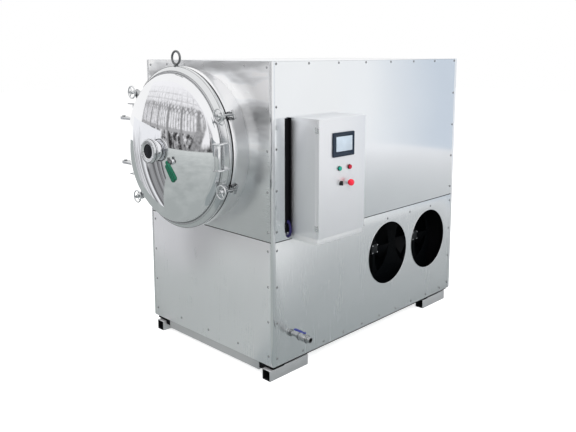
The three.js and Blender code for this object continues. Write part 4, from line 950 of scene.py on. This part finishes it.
# ---------------------------------------------------------------- lower compartment
def make_lower_compartment():
    keep("deck", [refined("mid_deck", 0.8)], "cabinet", deck_steel, ["mid_deck"])
    keep("finned_coil", [refined("condenser", 0.6)], "cabinet", coil_black, ["condenser"])
    rear_low, rear_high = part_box("rear_panel")
    deck_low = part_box("mid_deck")[0]
    felt = block((rear_low[0] + 0.05, rear_low[1] - 0.006, rear_low[2] + 0.03),
                 (rear_high[0] - 0.05, rear_low[1] - 0.0006, deck_low[2] - 0.01), 1)
    keep("sound_felt", [felt], "cabinet", black_pad_and_shade)
    for i in (1, 2):
        low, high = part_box(f"fan_motor_{i}")
        middle = (low + high) / 2
        plate_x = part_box(f"fan_motor_{i}")[1][0] / MM - 12

        def at(x, y=0.0, z=0.0):
            return Vector(((plate_x + x) * MM, middle[1] + y * MM, middle[2] + z * MM))

        plate_part = block(at(0, -34, -34), at(6, 34, 34), 1.6)
        body = rod(at(-60.6), at(-6.6), 46.5, 3, 56)
        neck = rod(at(-7), at(1), 12, 0.4, 32)
        disc = rod(at(5), at(8), 25, 1.0, 40)
        heads = [hexagon(at(5, dy, dz), (1, 0, 0), 5.5, 7, 0.6) for dy in (-27, 27) for dz in (-27, 27)]
        keep(f"fan_drive_{i}", [plate_part, body, neck, disc], "cabinet", motor_alloy,
             [f"fan_motor_{i}"])
        keep(f"fan_drive_bolts_{i}", heads, "cabinet", bright_steel)
        cup_x = -68
        cup_points = [(48, cup_x + 5), (48, -10), (57, -10), (60, -13), (60, cup_x + 6), (54, cup_x), (0, cup_x),
                      (0, cup_x + 5)]
        cup = rounded(spun([at(d, 0, r) for r, d in [*cup_points, cup_points[0]]], 56, at(0), (1, 0, 0)), 0.8)
        outline = [*arc_points(0, 0, 57, -14, 26, 8), *arc_points(0, 0, 198, 32, -8, 16)]
        blades = []
        for n in range(5):
            place = (
                Matrix.Translation(at(cup_x + 30)) @ Matrix.Rotation(math.pi / 2, 4, "Y")
                @ Matrix.Rotation(2 * math.pi * n / 5, 4, "Z") @ Matrix.Rotation(math.radians(24), 4, "X")
                @ Matrix.Rotation(math.radians(-12), 4, "Z")
            )
            points = [place @ Vector((u * MM, v * MM, -0.0015)) for u, v in outline]
            blades.append(plate(points, place.to_3x3() @ Vector((0, 0, 0.003)), 0.8))
        keep(f"fan_rotor_{i}", [cup, *blades], f"fan_{i}", fan_black, [f"fan_impeller_{i}"])
    low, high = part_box("compressor")
    keep("refrigerant_compressor", [refined("compressor", 4, 3)], "cabinet", machine_paint,
         ["compressor"])
    keep("pump_set", [refined("vacuum_pump", 5, 3)], "cabinet", machine_paint, ["vacuum_pump"])
    make_drain()


def drain_turned(profile, steps=48, width=0.6):
    """Spins [radius, reach] points about the drain pipe."""
    origin = at_drain(0)
    points = [origin + Vector((d * MM, 0, r * MM)) for r, d in [*profile, profile[0]]]
    return rounded(spun(points, steps, origin, (1, 0, 0)), width)


def make_drain():
    ball = 123.0
    pipe = drain_turned([(10, -65), (13.5, -65), (13.5, ball - 56), (10, ball - 56)])
    body = drain_turned([(12, ball - 43), (20, ball - 43), (24, ball - 38), (24, ball + 22), (21, ball + 26),
                         (12, ball + 26)], width=1.2)
    nuts = [hexagon(at_drain(d), (1, 0, 0), r, depth, 1.0) for r, d, depth in ((23, 0.3, 9), (21, ball - 58, 16))]
    end = drain_turned([(12, ball + 25), (19, ball + 25), (19, ball + 47), (17, ball + 50), (12, ball + 50)])
    hex_end = [hexagon(at_drain(ball + 25.5), (1, 0, 0), 20, 14, 1.0)]
    thread = [ring(at_drain(ball + 41 + 2.2 * n), (1, 0, 0), 18.9, 0.7, 40, 6) for n in range(4)]
    neck = rod(at_drain(ball, 15), at_drain(ball, 30), 9, 0.8, 32)
    stem = rod(at_drain(ball, 29), at_drain(ball, 39), 4.2, 0.6, 20)
    # a black liner inside the open end of the valve: painted shade in the hollow
    mouth = drain_turned([(12.3, ball + 21), (12.3, ball + 50.3), (14.2, ball + 50.5), (14.2, ball + 50),
                          (11.6, ball + 49.6), (11.6, ball + 26), (0, ball + 26), (0, ball + 21)],
                         width=0)
    keep("drain_mouth_shade", [mouth], "cabinet", black_pad_and_shade)
    # black rings at the panel nut and the body joints: painted shade
    collars = [ring(at_drain(d), (1, 0, 0), r, 1.4, 40, 8) for d,
               r in ((9.6, 20.5), (ball - 38, 24), (ball + 22, 24))]
    keep("drain_joint_shade", collars, "cabinet", black_pad_and_shade)
    keep("drain_cock", [pipe, body, *nuts, end, *hex_end, *thread, neck, stem], "cabinet", bolt_steel,
         ["drain_valve"])
    low = 30.3
    hub = rod(at_drain(ball, low), at_drain(ball, low + 3.5), 10, 0.5, 28)
    nut = rod(at_drain(ball, low + 3.4), at_drain(ball, low + 7.6), 8, 0.6, 6)
    strip = block(at_drain(ball - 30, low) - Vector((0, 0.008, 0)),
                  at_drain(ball, low + 3.5) + Vector((0, 0.008, 0)), 0.6)
    sleeve = block(at_drain(ball - 86, low - 2) - Vector((0, 0.009, 0)),
                   at_drain(ball - 24, low + 6) + Vector((0, 0.009, 0)), 3.4, 5)
    lever = keep("drain_cock_lever", [hub, strip, nut, sleeve], "drain_lever", blue_sleeve,
                 ["drain_lever"])
    lever.visible_glossy = False


# ---------------------------------------------------------------- control box
def across_x(profile, y, z, steps_count=48, width=0.5):
    """Spins [radius, x] points, in metres along x, about a line through y and z."""
    origin = Vector((0, y, z))
    points = [origin + Vector((x, 0, r * MM)) for r, x in profile]
    return rounded(spun(closed(points, profile), steps_count, origin, (1, 0, 0)), width)


def middle_of(node):
    low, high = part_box(node)
    return (low + high) / 2


def make_control_box():
    keep("box_shell", [refined("control_box", 1.4)], "cabinet", box_sheet, ["control_box"])
    screen_low, screen_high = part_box("hmi_housing")
    low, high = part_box("control_box_door")
    face = screen_low[0] + 0.042 - 0.0003
    y0, y1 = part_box("box_base")[0][1] - 0.004, high[1]
    pan = hollowed((face - 0.016, y0, low[2]), (face, y1, high[2]),
                   (face - 0.03, y0 + 0.002, low[2] + 0.002), (face - 0.002, y1 - 0.002, high[2] - 0.002), 2.0, 4)
    keep("box_lid", [pan], "box_door", box_sheet, ["control_box_door"])
    keep("base_tray", [refined("box_base", 1.0)], "cabinet", tray_steel, ["box_base"])
    keep("box_packer", [refined("box_spacer", 1.0)], "cabinet", black_plastic, ["box_spacer"])
    shell_low, shell_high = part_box("control_box")
    wall = cover_high[0]
    # a black band round the back of the box and a black strip at its front edge on the cabinet wall: painted shade in
    # the gap between box and cabinet
    band = hollowed((shell_low[0] - 0.001, shell_low[1] - 0.0012, shell_low[2] + 0.001),
                    (shell_low[0] + 0.011, shell_high[1] + 0.0012, shell_high[2] - 0.006),
                    (shell_low[0] - 0.01, shell_low[1] + 0.0004, shell_low[2] - 0.01),
                    (shell_low[0] + 0.03, shell_high[1] - 0.0004, shell_high[2] + 0.01), 0.4)
    keep("box_gap_shade", [band], "cabinet", seal_rubber)
    edge = block((wall + 0.0004, shell_low[1] - 0.022, shell_low[2] + 0.004),
                 (wall + 0.003, shell_low[1] + 0.05, shell_high[2] - 0.006), 0.6)
    keep("box_edge_shade", [edge], "cabinet", seal_rubber)
    strip = block((wall + 0.0006, shell_low[1], shell_high[2] - 0.0015),
                  (shell_low[0] + 0.012, shell_high[1], shell_high[2] + 0.0008), 0.6)
    keep("box_gap_cover", [strip], "cabinet", box_sheet)
    keep("relays_and_drives", [refined("control_gear", 1.5)], "cabinet", module_grey,
         ["control_gear"])

    bezel = block((face + 0.0003, screen_low[1], screen_low[2]), (screen_high[0], screen_high[1], screen_high[2]),
                  0)
    edit(bezel, "EDGE")
    bpy.ops.mesh.select_all(action="DESELECT")
    mesh = bmesh.from_edit_mesh(bezel.data)
    for edge in mesh.edges:
        a, b = (v.co for v in edge.verts)
        edge.select = abs(a.y - b.y) < 1e-6 and abs(a.z - b.z) < 1e-6
    bmesh.update_edit_mesh(bezel.data)
    bpy.ops.mesh.bevel(offset=0.007, segments=6)
    deselect()
    rounded(bezel, 1.2, 3, 50)
    glass_low, glass_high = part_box("hmi_screen")
    cut(bezel, block(glass_low - Vector((0.0013, 0.0006, 0.0006)), glass_high + Vector((0.01, 0.0006, 0.0006)), 0))
    rear = block((screen_low[0], screen_low[1] + 0.007, screen_low[2] + 0.007),
                 (face + 0.0006, screen_high[1] - 0.007, screen_high[2] - 0.007), 1)
    keep("panel_bezel", [bezel, rear], "box_door", bezel_navy, ["hmi_housing"])
    keep("panel_glass", [refined("hmi_screen", 0.4)], "box_door", screen_glass, ["hmi_screen"])

    collars, dark_collars = [], []
    for node, reach in (("green_button", 2.8), ("red_button", 2.8), ("selector_switch", 3), ("stop_button", 15)):
        spot = middle_of(node)
        if node == "selector_switch":
            spot = selector_axis()
        top = face + reach * MM
        kind = dark_collars if reach < 3 else collars
        kind.append(across_x([(11.4, face - 0.001), (15, face - 0.001), (15, top - 0.0008), (14.2, top),
                              (11.4, top)], spot[1], spot[2]))
    keep("button_collars", collars, "box_door", bright_steel)
    keep("push_button_collars", dark_collars, "box_door", black_plastic)
    for node, finish, slot in (("green_button", green_cap, "green_plastic"),
                               ("red_button", red_cap, "red_plastic")):
        spot = middle_of(node)
        back, front = face + 0.0073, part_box(node)[1][0]
        cap = across_x([(0, back), (12.6, back), (13.5, back + 0.0008), (13.5, front - 0.0016),
                        (12.2, front - 0.0004), (6, front - 0.0001), (0, front)], spot[1], spot[2])
        stem = across_x([(0, face - 0.012), (11, face - 0.012), (11, back + 0.001), (0, back + 0.001)], spot[1],
                        spot[2])
        keep(f"{node}_cap", [cap, stem], node, finish, [node])
    spot = middle_of("stop_button")
    back = face + 0.0213
    profile = [(0, 0), (17, 0), (19.4, 1.4), (20, 4), (20, 12), (19, 15.5), (16.5, 19.2), (12.5, 22), (8, 23.4),
               (4, 23.9), (0, 24)]
    cap = across_x([(r, back + d * MM) for r, d in profile], spot[1], spot[2], 56, 0)
    stem = across_x([(0, face - 0.012), (11, face - 0.012), (11, back + 0.001), (0, back + 0.001)], spot[1],
                    spot[2])
    keep("stop_mushroom", [cap, stem], "stop_button", stop_red, ["stop_button"])
    spot = selector_axis()
    back = face + 0.0033
    disc = across_x([(0, back), (13.5, back), (13.5, back + 0.003), (12.5, back + 0.004), (0, back + 0.004)],
                    spot[1], spot[2])
    stem = across_x([(0, face - 0.012), (11, face - 0.012), (11, back + 0.001), (0, back + 0.001)], spot[1],
                    spot[2])
    wing = plate([Vector((back + 0.003, spot[1] + u * MM, spot[2] + v * MM)) for u,
                  v in ((-4.5, -12), (4.5, -12), (3, 15), (-3, 15))],
                 Vector((0.015, 0, 0)), 1.6)
    keep("selector_knob", [disc, stem, wing], "selector_switch", black_plastic,
         ["selector_switch"])
    make_box_hinges(face)
    make_hose()


def selector_axis():
    low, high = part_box("selector_switch")
    return Vector((0, (low[1] + high[1]) / 2, low[2] + 0.0135 if high[2] - low[2] < 0.0275 else high[2] - 0.015))


def make_box_hinges(face):
    """Barrel and leaves of the two small hinges at the front edge of the box lid."""
    low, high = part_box("control_box")
    pin_x, pin_y = face - 0.0163, low[1] + 0.0045
    moving, fixed = [], []
    for level in (low[2] + 0.062, high[2] - 0.062):
        for z0, z1 in ((-17, -6), (6, 17)):
            fixed.append(rod((pin_x, pin_y, level + z0 * MM), (pin_x, pin_y, level + z1 * MM), 4.5, 0.6, 28))
        moving.append(rod((pin_x, pin_y, level - 0.0057), (pin_x, pin_y, level + 0.0057), 4.5, 0.6, 28))
        moving.append(block((pin_x + 0.001, pin_y + 0.002, level - 0.0057),
                            (pin_x + 0.006, pin_y + 0.004, level + 0.0057), 0.3))
        moving.append(block((pin_x + 0.005, pin_y + 0.002, level - 0.017),
                            (pin_x + 0.014, pin_y + 0.005, level + 0.017), 0.4))
        fixed.append(block((pin_x - 0.014, pin_y + 0.002, level - 0.017),
                           (pin_x - 0.005, pin_y + 0.005, level + 0.017), 0.4))
    keep("box_hinge_fixed", fixed, "cabinet", bright_steel)
    keep("box_hinge_moving", moving, "box_door", bright_steel)


def make_hose():
    low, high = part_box("wiring_hose")
    x, y = low[0], (low[1] + high[1]) / 2
    z0, z1 = high[2] - 0.009, low[2] + 0.009
    reach = 0.035
    count = 26

    def point(t):
        a, b, c, d = (1 - t) ** 3, 3 * t * (1 - t) ** 2, 3 * t * t * (1 - t), t**3
        return Vector((x + reach * (b + c), y, z0 * (a + b) + z1 * (c + d)))

    path = [point(i / count) for i in range(count + 1)]
    core = tube(path, 7.6, 4)
    ribs = []
    for i in range(1, count):
        run = path[i + 1] - path[i - 1]
        ribs.append(ring(path[i], run, 7.6, 1.35, 28, 8))
    keep("corrugated_hose", [core, *ribs], "cabinet", hose_plastic, ["wiring_hose"])


screen_glass = mottled("screen_glass", (0.40, 0.47, 0.54), 120.0, 0.30, 0.14, 0.08, Coat_Weight=0.5)


# ---------------------------------------------------------------- camera, light and floor
def make_camera():
    data = bpy.data.cameras.new("camera")
    data.lens, data.sensor_width = 42.11, 36.0
    data.shift_x, data.shift_y = -0.0147, -0.106
    camera = bpy.data.objects.new("camera", data)
    bpy.context.scene.collection.objects.link(camera)
    camera.location = at_cabinet(3401.6, -3678.6, 1992.4)
    camera.rotation_euler = (math.radians(81.3), 0, math.radians(43.95))
    bpy.context.scene.camera = camera


def area_light(name, location, target, size, power):
    data = bpy.data.lights.new(name, "AREA")
    data.shape, data.size, data.size_y = "RECTANGLE", size[0], size[1]
    data.energy = power
    light = bpy.data.objects.new(name, data)
    bpy.context.scene.collection.objects.link(light)
    light.location = location
    light.rotation_euler = (Vector(target) - Vector(location)).to_track_quat("-Z", "Y").to_euler()
    light.visible_camera = light.visible_glossy = False


def card(name, centre, across, up):
    """A plain studio card that only mirrors see: it shades the reflections of the polished parts."""
    centre, across, up = Vector(centre), Vector(across), Vector(up)
    data = bpy.data.meshes.new(name)
    corners = [centre - across - up, centre + across - up, centre + across + up, centre - across + up]
    data.from_pydata(corners, [], [(0, 1, 2, 3)])
    thing = bpy.data.objects.new(name, data)
    bpy.context.scene.collection.objects.link(thing)
    made = bpy.data.materials.new(name)
    made.use_nodes = True
    made.node_tree.nodes.clear()
    n = Nodes(made.node_tree)
    glow = n.add("ShaderNodeEmission", {"Color": (1, 1, 1, 1), "Strength": 1.0})
    end = n.add("ShaderNodeOutputMaterial")
    n.feed(glow.outputs[0], end.inputs[0])
    data.materials.append(made)
    thing.visible_camera = thing.visible_diffuse = thing.visible_shadow = False
    thing.visible_transmission = thing.visible_volume_scatter = False
    return thing


def seen_directly(n):
    """One for camera, glossy and transmission rays, nothing for the rays that light things."""
    path = n.add("ShaderNodeLightPath").outputs
    return n.math("MAXIMUM", n.math("MAXIMUM", path["Is Camera Ray"], path["Is Glossy Ray"]),
                  path["Is Transmission Ray"])


def make_world():
    world = bpy.data.worlds.new("studio")
    bpy.context.scene.world = world
    world.use_nodes = True
    n = Nodes(world.node_tree)
    back = world.node_tree.nodes["Background"]
    n.feed(n.spread(seen_directly(n), 0, 1, 0.55, 1.0), back.inputs["Strength"])
    back.inputs["Color"].default_value = (1, 1, 1, 1)


def make_floor():
    floor = new_mesh(bpy.ops.mesh.primitive_plane_add, size=60, location=(0, 0, -0.0005))
    floor.name = "floor"
    made = bpy.data.materials.new("floor")
    made.use_nodes = True
    n = Nodes(made.node_tree)
    surface = made.node_tree.nodes["Principled BSDF"]
    place = n.place()
    tone = n.spread(n.noise(place, 0.8, 3.0), 0, 1, 0.80, 0.84)
    n.feed(n.grey(tone), surface.inputs["Base Color"])
    surface.inputs["Roughness"].default_value = 0.9
    surface.inputs["Specular IOR Level"].default_value = 0.1
    n.feed(n.grey(n.spread(seen_directly(n), 0, 1, 0.1, 0.64)), surface.inputs["Emission Color"])
    surface.inputs["Emission Strength"].default_value = 1.0
    floor.data.materials.append(made)


def make_light():
    area_light("key", at_cabinet(5200, -2600, 5200), at_cabinet(0, 0, 1000), (3.5, 3.5), 330)
    area_light("front", at_cabinet(-1500, -6500, 3200), at_cabinet(0, -600, 1100), (3.0, 3.0), 130)
    area_light("top", at_cabinet(0, 0, 6000), at_cabinet(0, 0, 0), (5.0, 5.0), 220)


def lines_at(n, value, period, width, soft):
    """A mask that falls to nothing at every period of a value."""
    away = n.math("PINGPONG", value, period / 2)
    return n.spread(away, width / 2, width / 2 + soft)


def between(n, value, low, high, soft):
    """A mask that is one between two heights."""
    return n.times(n.spread(value, low - soft, low + soft), n.spread(value, high + soft, high - soft))


def hall_card():
    """A far workshop wall with posts, tall windows and roof trusses, for the polished head to mirror."""
    middle, along = at_cabinet(-5500, -12500, 4500), Vector((0.9656, -0.26, 0))
    wall = card("hall_card", middle, along * 18.6, (0, 0, 4.6))
    made = wall.data.materials[0]
    n = Nodes(made.node_tree)
    glow = made.node_tree.nodes["Emission"]
    place = n.place()
    across = n.add("ShaderNodeVectorMath", {0: n.vector("SUBTRACT", place, tuple(middle)), 1: along},
                   operation="DOT_PRODUCT").outputs["Value"]
    height = n.add("ShaderNodeSeparateXYZ", {0: place}).outputs[2]
    mess = n.noise(place, 1.9, 4.0, 0.7)
    patch = n.noise(n.vector("MULTIPLY", place, (0.9, 0.9, 0.35)), 1.0, 3.0, 0.6)
    lean = n.plus(across, n.times(height, 0.22))
    bars = lines_at(n, lean, 0.62, 0.12, 0.10)
    windows = n.plus(n.spread(mess, 0.30, 0.62, 0.62, 1.0), n.times(n.minus(bars, 1.0), 0.42))
    low = n.spread(n.times(patch, mess), 0.19, 0.33, 0.04, 0.95)
    low = n.times(low, n.spread(height, 0.0, 1.5, 0.45, 1.0))
    tone = n.mixed(low, windows, n.spread(height, 2.45, 2.65))
    tone = n.mixed(tone, 0.46, between(n, height, 2.15, 2.55, 0.08))
    web = n.times(lines_at(n, n.plus(across, height), 0.9, 0.16, 0.12),
                 lines_at(n, n.minus(across, height), 0.9, 0.16, 0.12))
    truss = n.times(n.spread(web, 0.0, 1.0, 0.34, 0.80), n.spread(mess, 0.30, 0.60, 0.62, 1.15))
    tone = n.mixed(tone, truss, between(n, height, 4.7, 5.7, 0.25))
    posts = n.minus(1.0, lines_at(n, lean, 3.4, 0.34, 0.12))
    tone = n.mixed(tone, 0.30, n.times(posts, between(n, height, -1.0, 5.6, 0.2)))
    skylight = n.times(lines_at(n, n.plus(across, n.times(height, 0.5)), 1.3, 0.10, 0.12),
                       lines_at(n, height, 0.9, 0.08, 0.10))
    roof = n.spread(n.plus(n.times(skylight, 0.5), n.times(n.spread(mess, 0.32, 0.58), 0.5)), 0.0, 1.0, 0.50, 1.0)
    tone = n.mixed(tone, roof, n.spread(n.plus(height, n.times(mess, 0.8)), 5.9, 6.5))
    tone = n.mixed(tone, 1.0, n.spread(n.plus(height, n.times(mess, 1.6)), 7.6, 9.2))
    doorway = n.times(between(n, n.plus(across, n.times(height, -0.35)), 3.0, 4.6, 0.15),
                      n.spread(height, 0.3, 1.2))
    tone = n.mixed(tone, 0.97, doorway)
    column = n.times(between(n, n.plus(across, n.times(height, -0.35)), 1.3, 2.9, 0.2), n.spread(height, 5.0, 2.0))
    tone = n.mixed(tone, n.spread(mess, 0.3, 0.6, 0.14, 0.42), column)
    shade = n.add("ShaderNodeCombineColor", {0: n.times(tone, 0.985), 1: n.times(tone, 0.98), 2: tone})
    n.feed(shade.outputs[0], glow.inputs["Color"])


def polished_card(name, start, end, top, tones, shift):
    """An upright card from one floor point to another: the streaked side of a machine that stands beside this one."""
    start, end = Vector((*start, 0)), Vector((*end, 0))
    side = card(name, (start + end) / 2 + Vector((0, 0, top / 2)), (end - start) / 2, (0, 0, top / 2))
    made = side.data.materials[0]
    n = Nodes(made.node_tree)
    place = n.place()
    height = n.add("ShaderNodeSeparateXYZ", {0: place}).outputs[2]
    streak = n.noise(n.vector("ADD", n.vector("MULTIPLY", place, (3.4, 3.4, 0.12)), (shift, 0, 0)), 1.0, 3.0, 0.55)
    tone = n.spread(streak, 0.36, 0.62, *tones)
    cloud = n.spread(n.plus(height, n.noise(place, 2.4, 3.0, 0.6)), 1.35, 1.85)
    tone = n.mixed(tone, 0.96, cloud)
    shade = n.add("ShaderNodeCombineColor", {0: n.times(tone, 0.96), 1: n.times(tone, 0.97), 2: tone})
    n.feed(shade.outputs[0], made.node_tree.nodes["Emission"].inputs["Color"])


def shaded_card(name, centre, across, up, place_scale, ends, colours, streak=0.0):
    """A card whose tone runs from one end of a line in the room to the other, with soft streaks."""
    sheet = card(name, centre, across, up)
    made = sheet.data.materials[0]
    n = Nodes(made.node_tree)
    place = n.place()
    start, end = Vector(ends[0]), Vector(ends[1])
    run = end - start
    along = n.add("ShaderNodeVectorMath", {0: n.vector("SUBTRACT", place, tuple(start)),
                                           1: tuple(run / run.length_squared)},
                  operation="DOT_PRODUCT").outputs["Value"]
    if streak:
        soft = n.noise(n.vector("MULTIPLY", place, place_scale), 1.0, 3.0, 0.6)
        along = n.plus(along, n.times(n.minus(soft, 0.5), streak))
    blend = n.add("ShaderNodeMix", {0: along, 6: (*colours[0], 1), 7: (*colours[1], 1)}, data_type="RGBA")
    n.feed(blend.outputs[2], made.node_tree.nodes["Emission"].inputs["Color"])
    return sheet


def make_cards():
    hall_card()
    shaded_card("front_floor_card", Vector((-2.0, -7.9, 0.0004)), (11.0, 0, 0), (0, 8.3, 0), (1.3, 1.3, 0),
                [(0, -1.5, 0), (0, -12.0, 0)],
                [(0.40, 0.43, 0.425), (0.68, 0.71, 0.70)], 1.1)
    shaded_card("side_floor_card", Vector((6.1, 4.0, 0.0008)), (5.8, 0, 0), (0, 6.0, 0), (0.5, 0.5, 0),
                [(0.7, -1.0, 0), (6.0, 6.0, 0)],
                [(0.30, 0.335, 0.34), (0.98, 0.98, 1.0)], 0.06)
    shaded_card("near_wall_card", Vector((6.2, -7.6, 1.5)), (3.4, 2.7, 0), (0, 0, 1.5), (1.1, 1.1, 0.5),
                [(2.8, -10.3, 0), (9.6, -4.9, 0)],
                [(0.22, 0.24, 0.25), (0.50, 0.52, 0.54)], 1.2)
    polished_card("neighbour_side", (-1.76, -1.63), (-2.6, -3.35), 1.6, (0.05, 0.50), 0.0)
    polished_card("neighbour_end", (-1.76, -1.63), (-4.2, -1.1), 1.6, (0.20, 0.95), 3.0)
    shaded_card("side_wall_card", at_cabinet(4500, 7500, 2400), (5.0, 0, 0), (0, 0, 2.4), (0.4, 0.4, 0.4),
                [(2.5, 0, 0), (7.0, 0, 0)],
                [(0.64, 0.71, 0.80), (0.98, 0.99, 1.0)], 0.2)


make_camera()
make_cabinet()
make_cabinet_screws()
make_chamber()
make_door()
for number, clamp_angle in enumerate(CLAMPS, 1):
    clamp_parts(number, clamp_angle)
make_lower_compartment()
make_control_box()
make_floor()
make_world()
make_light()
make_cards()
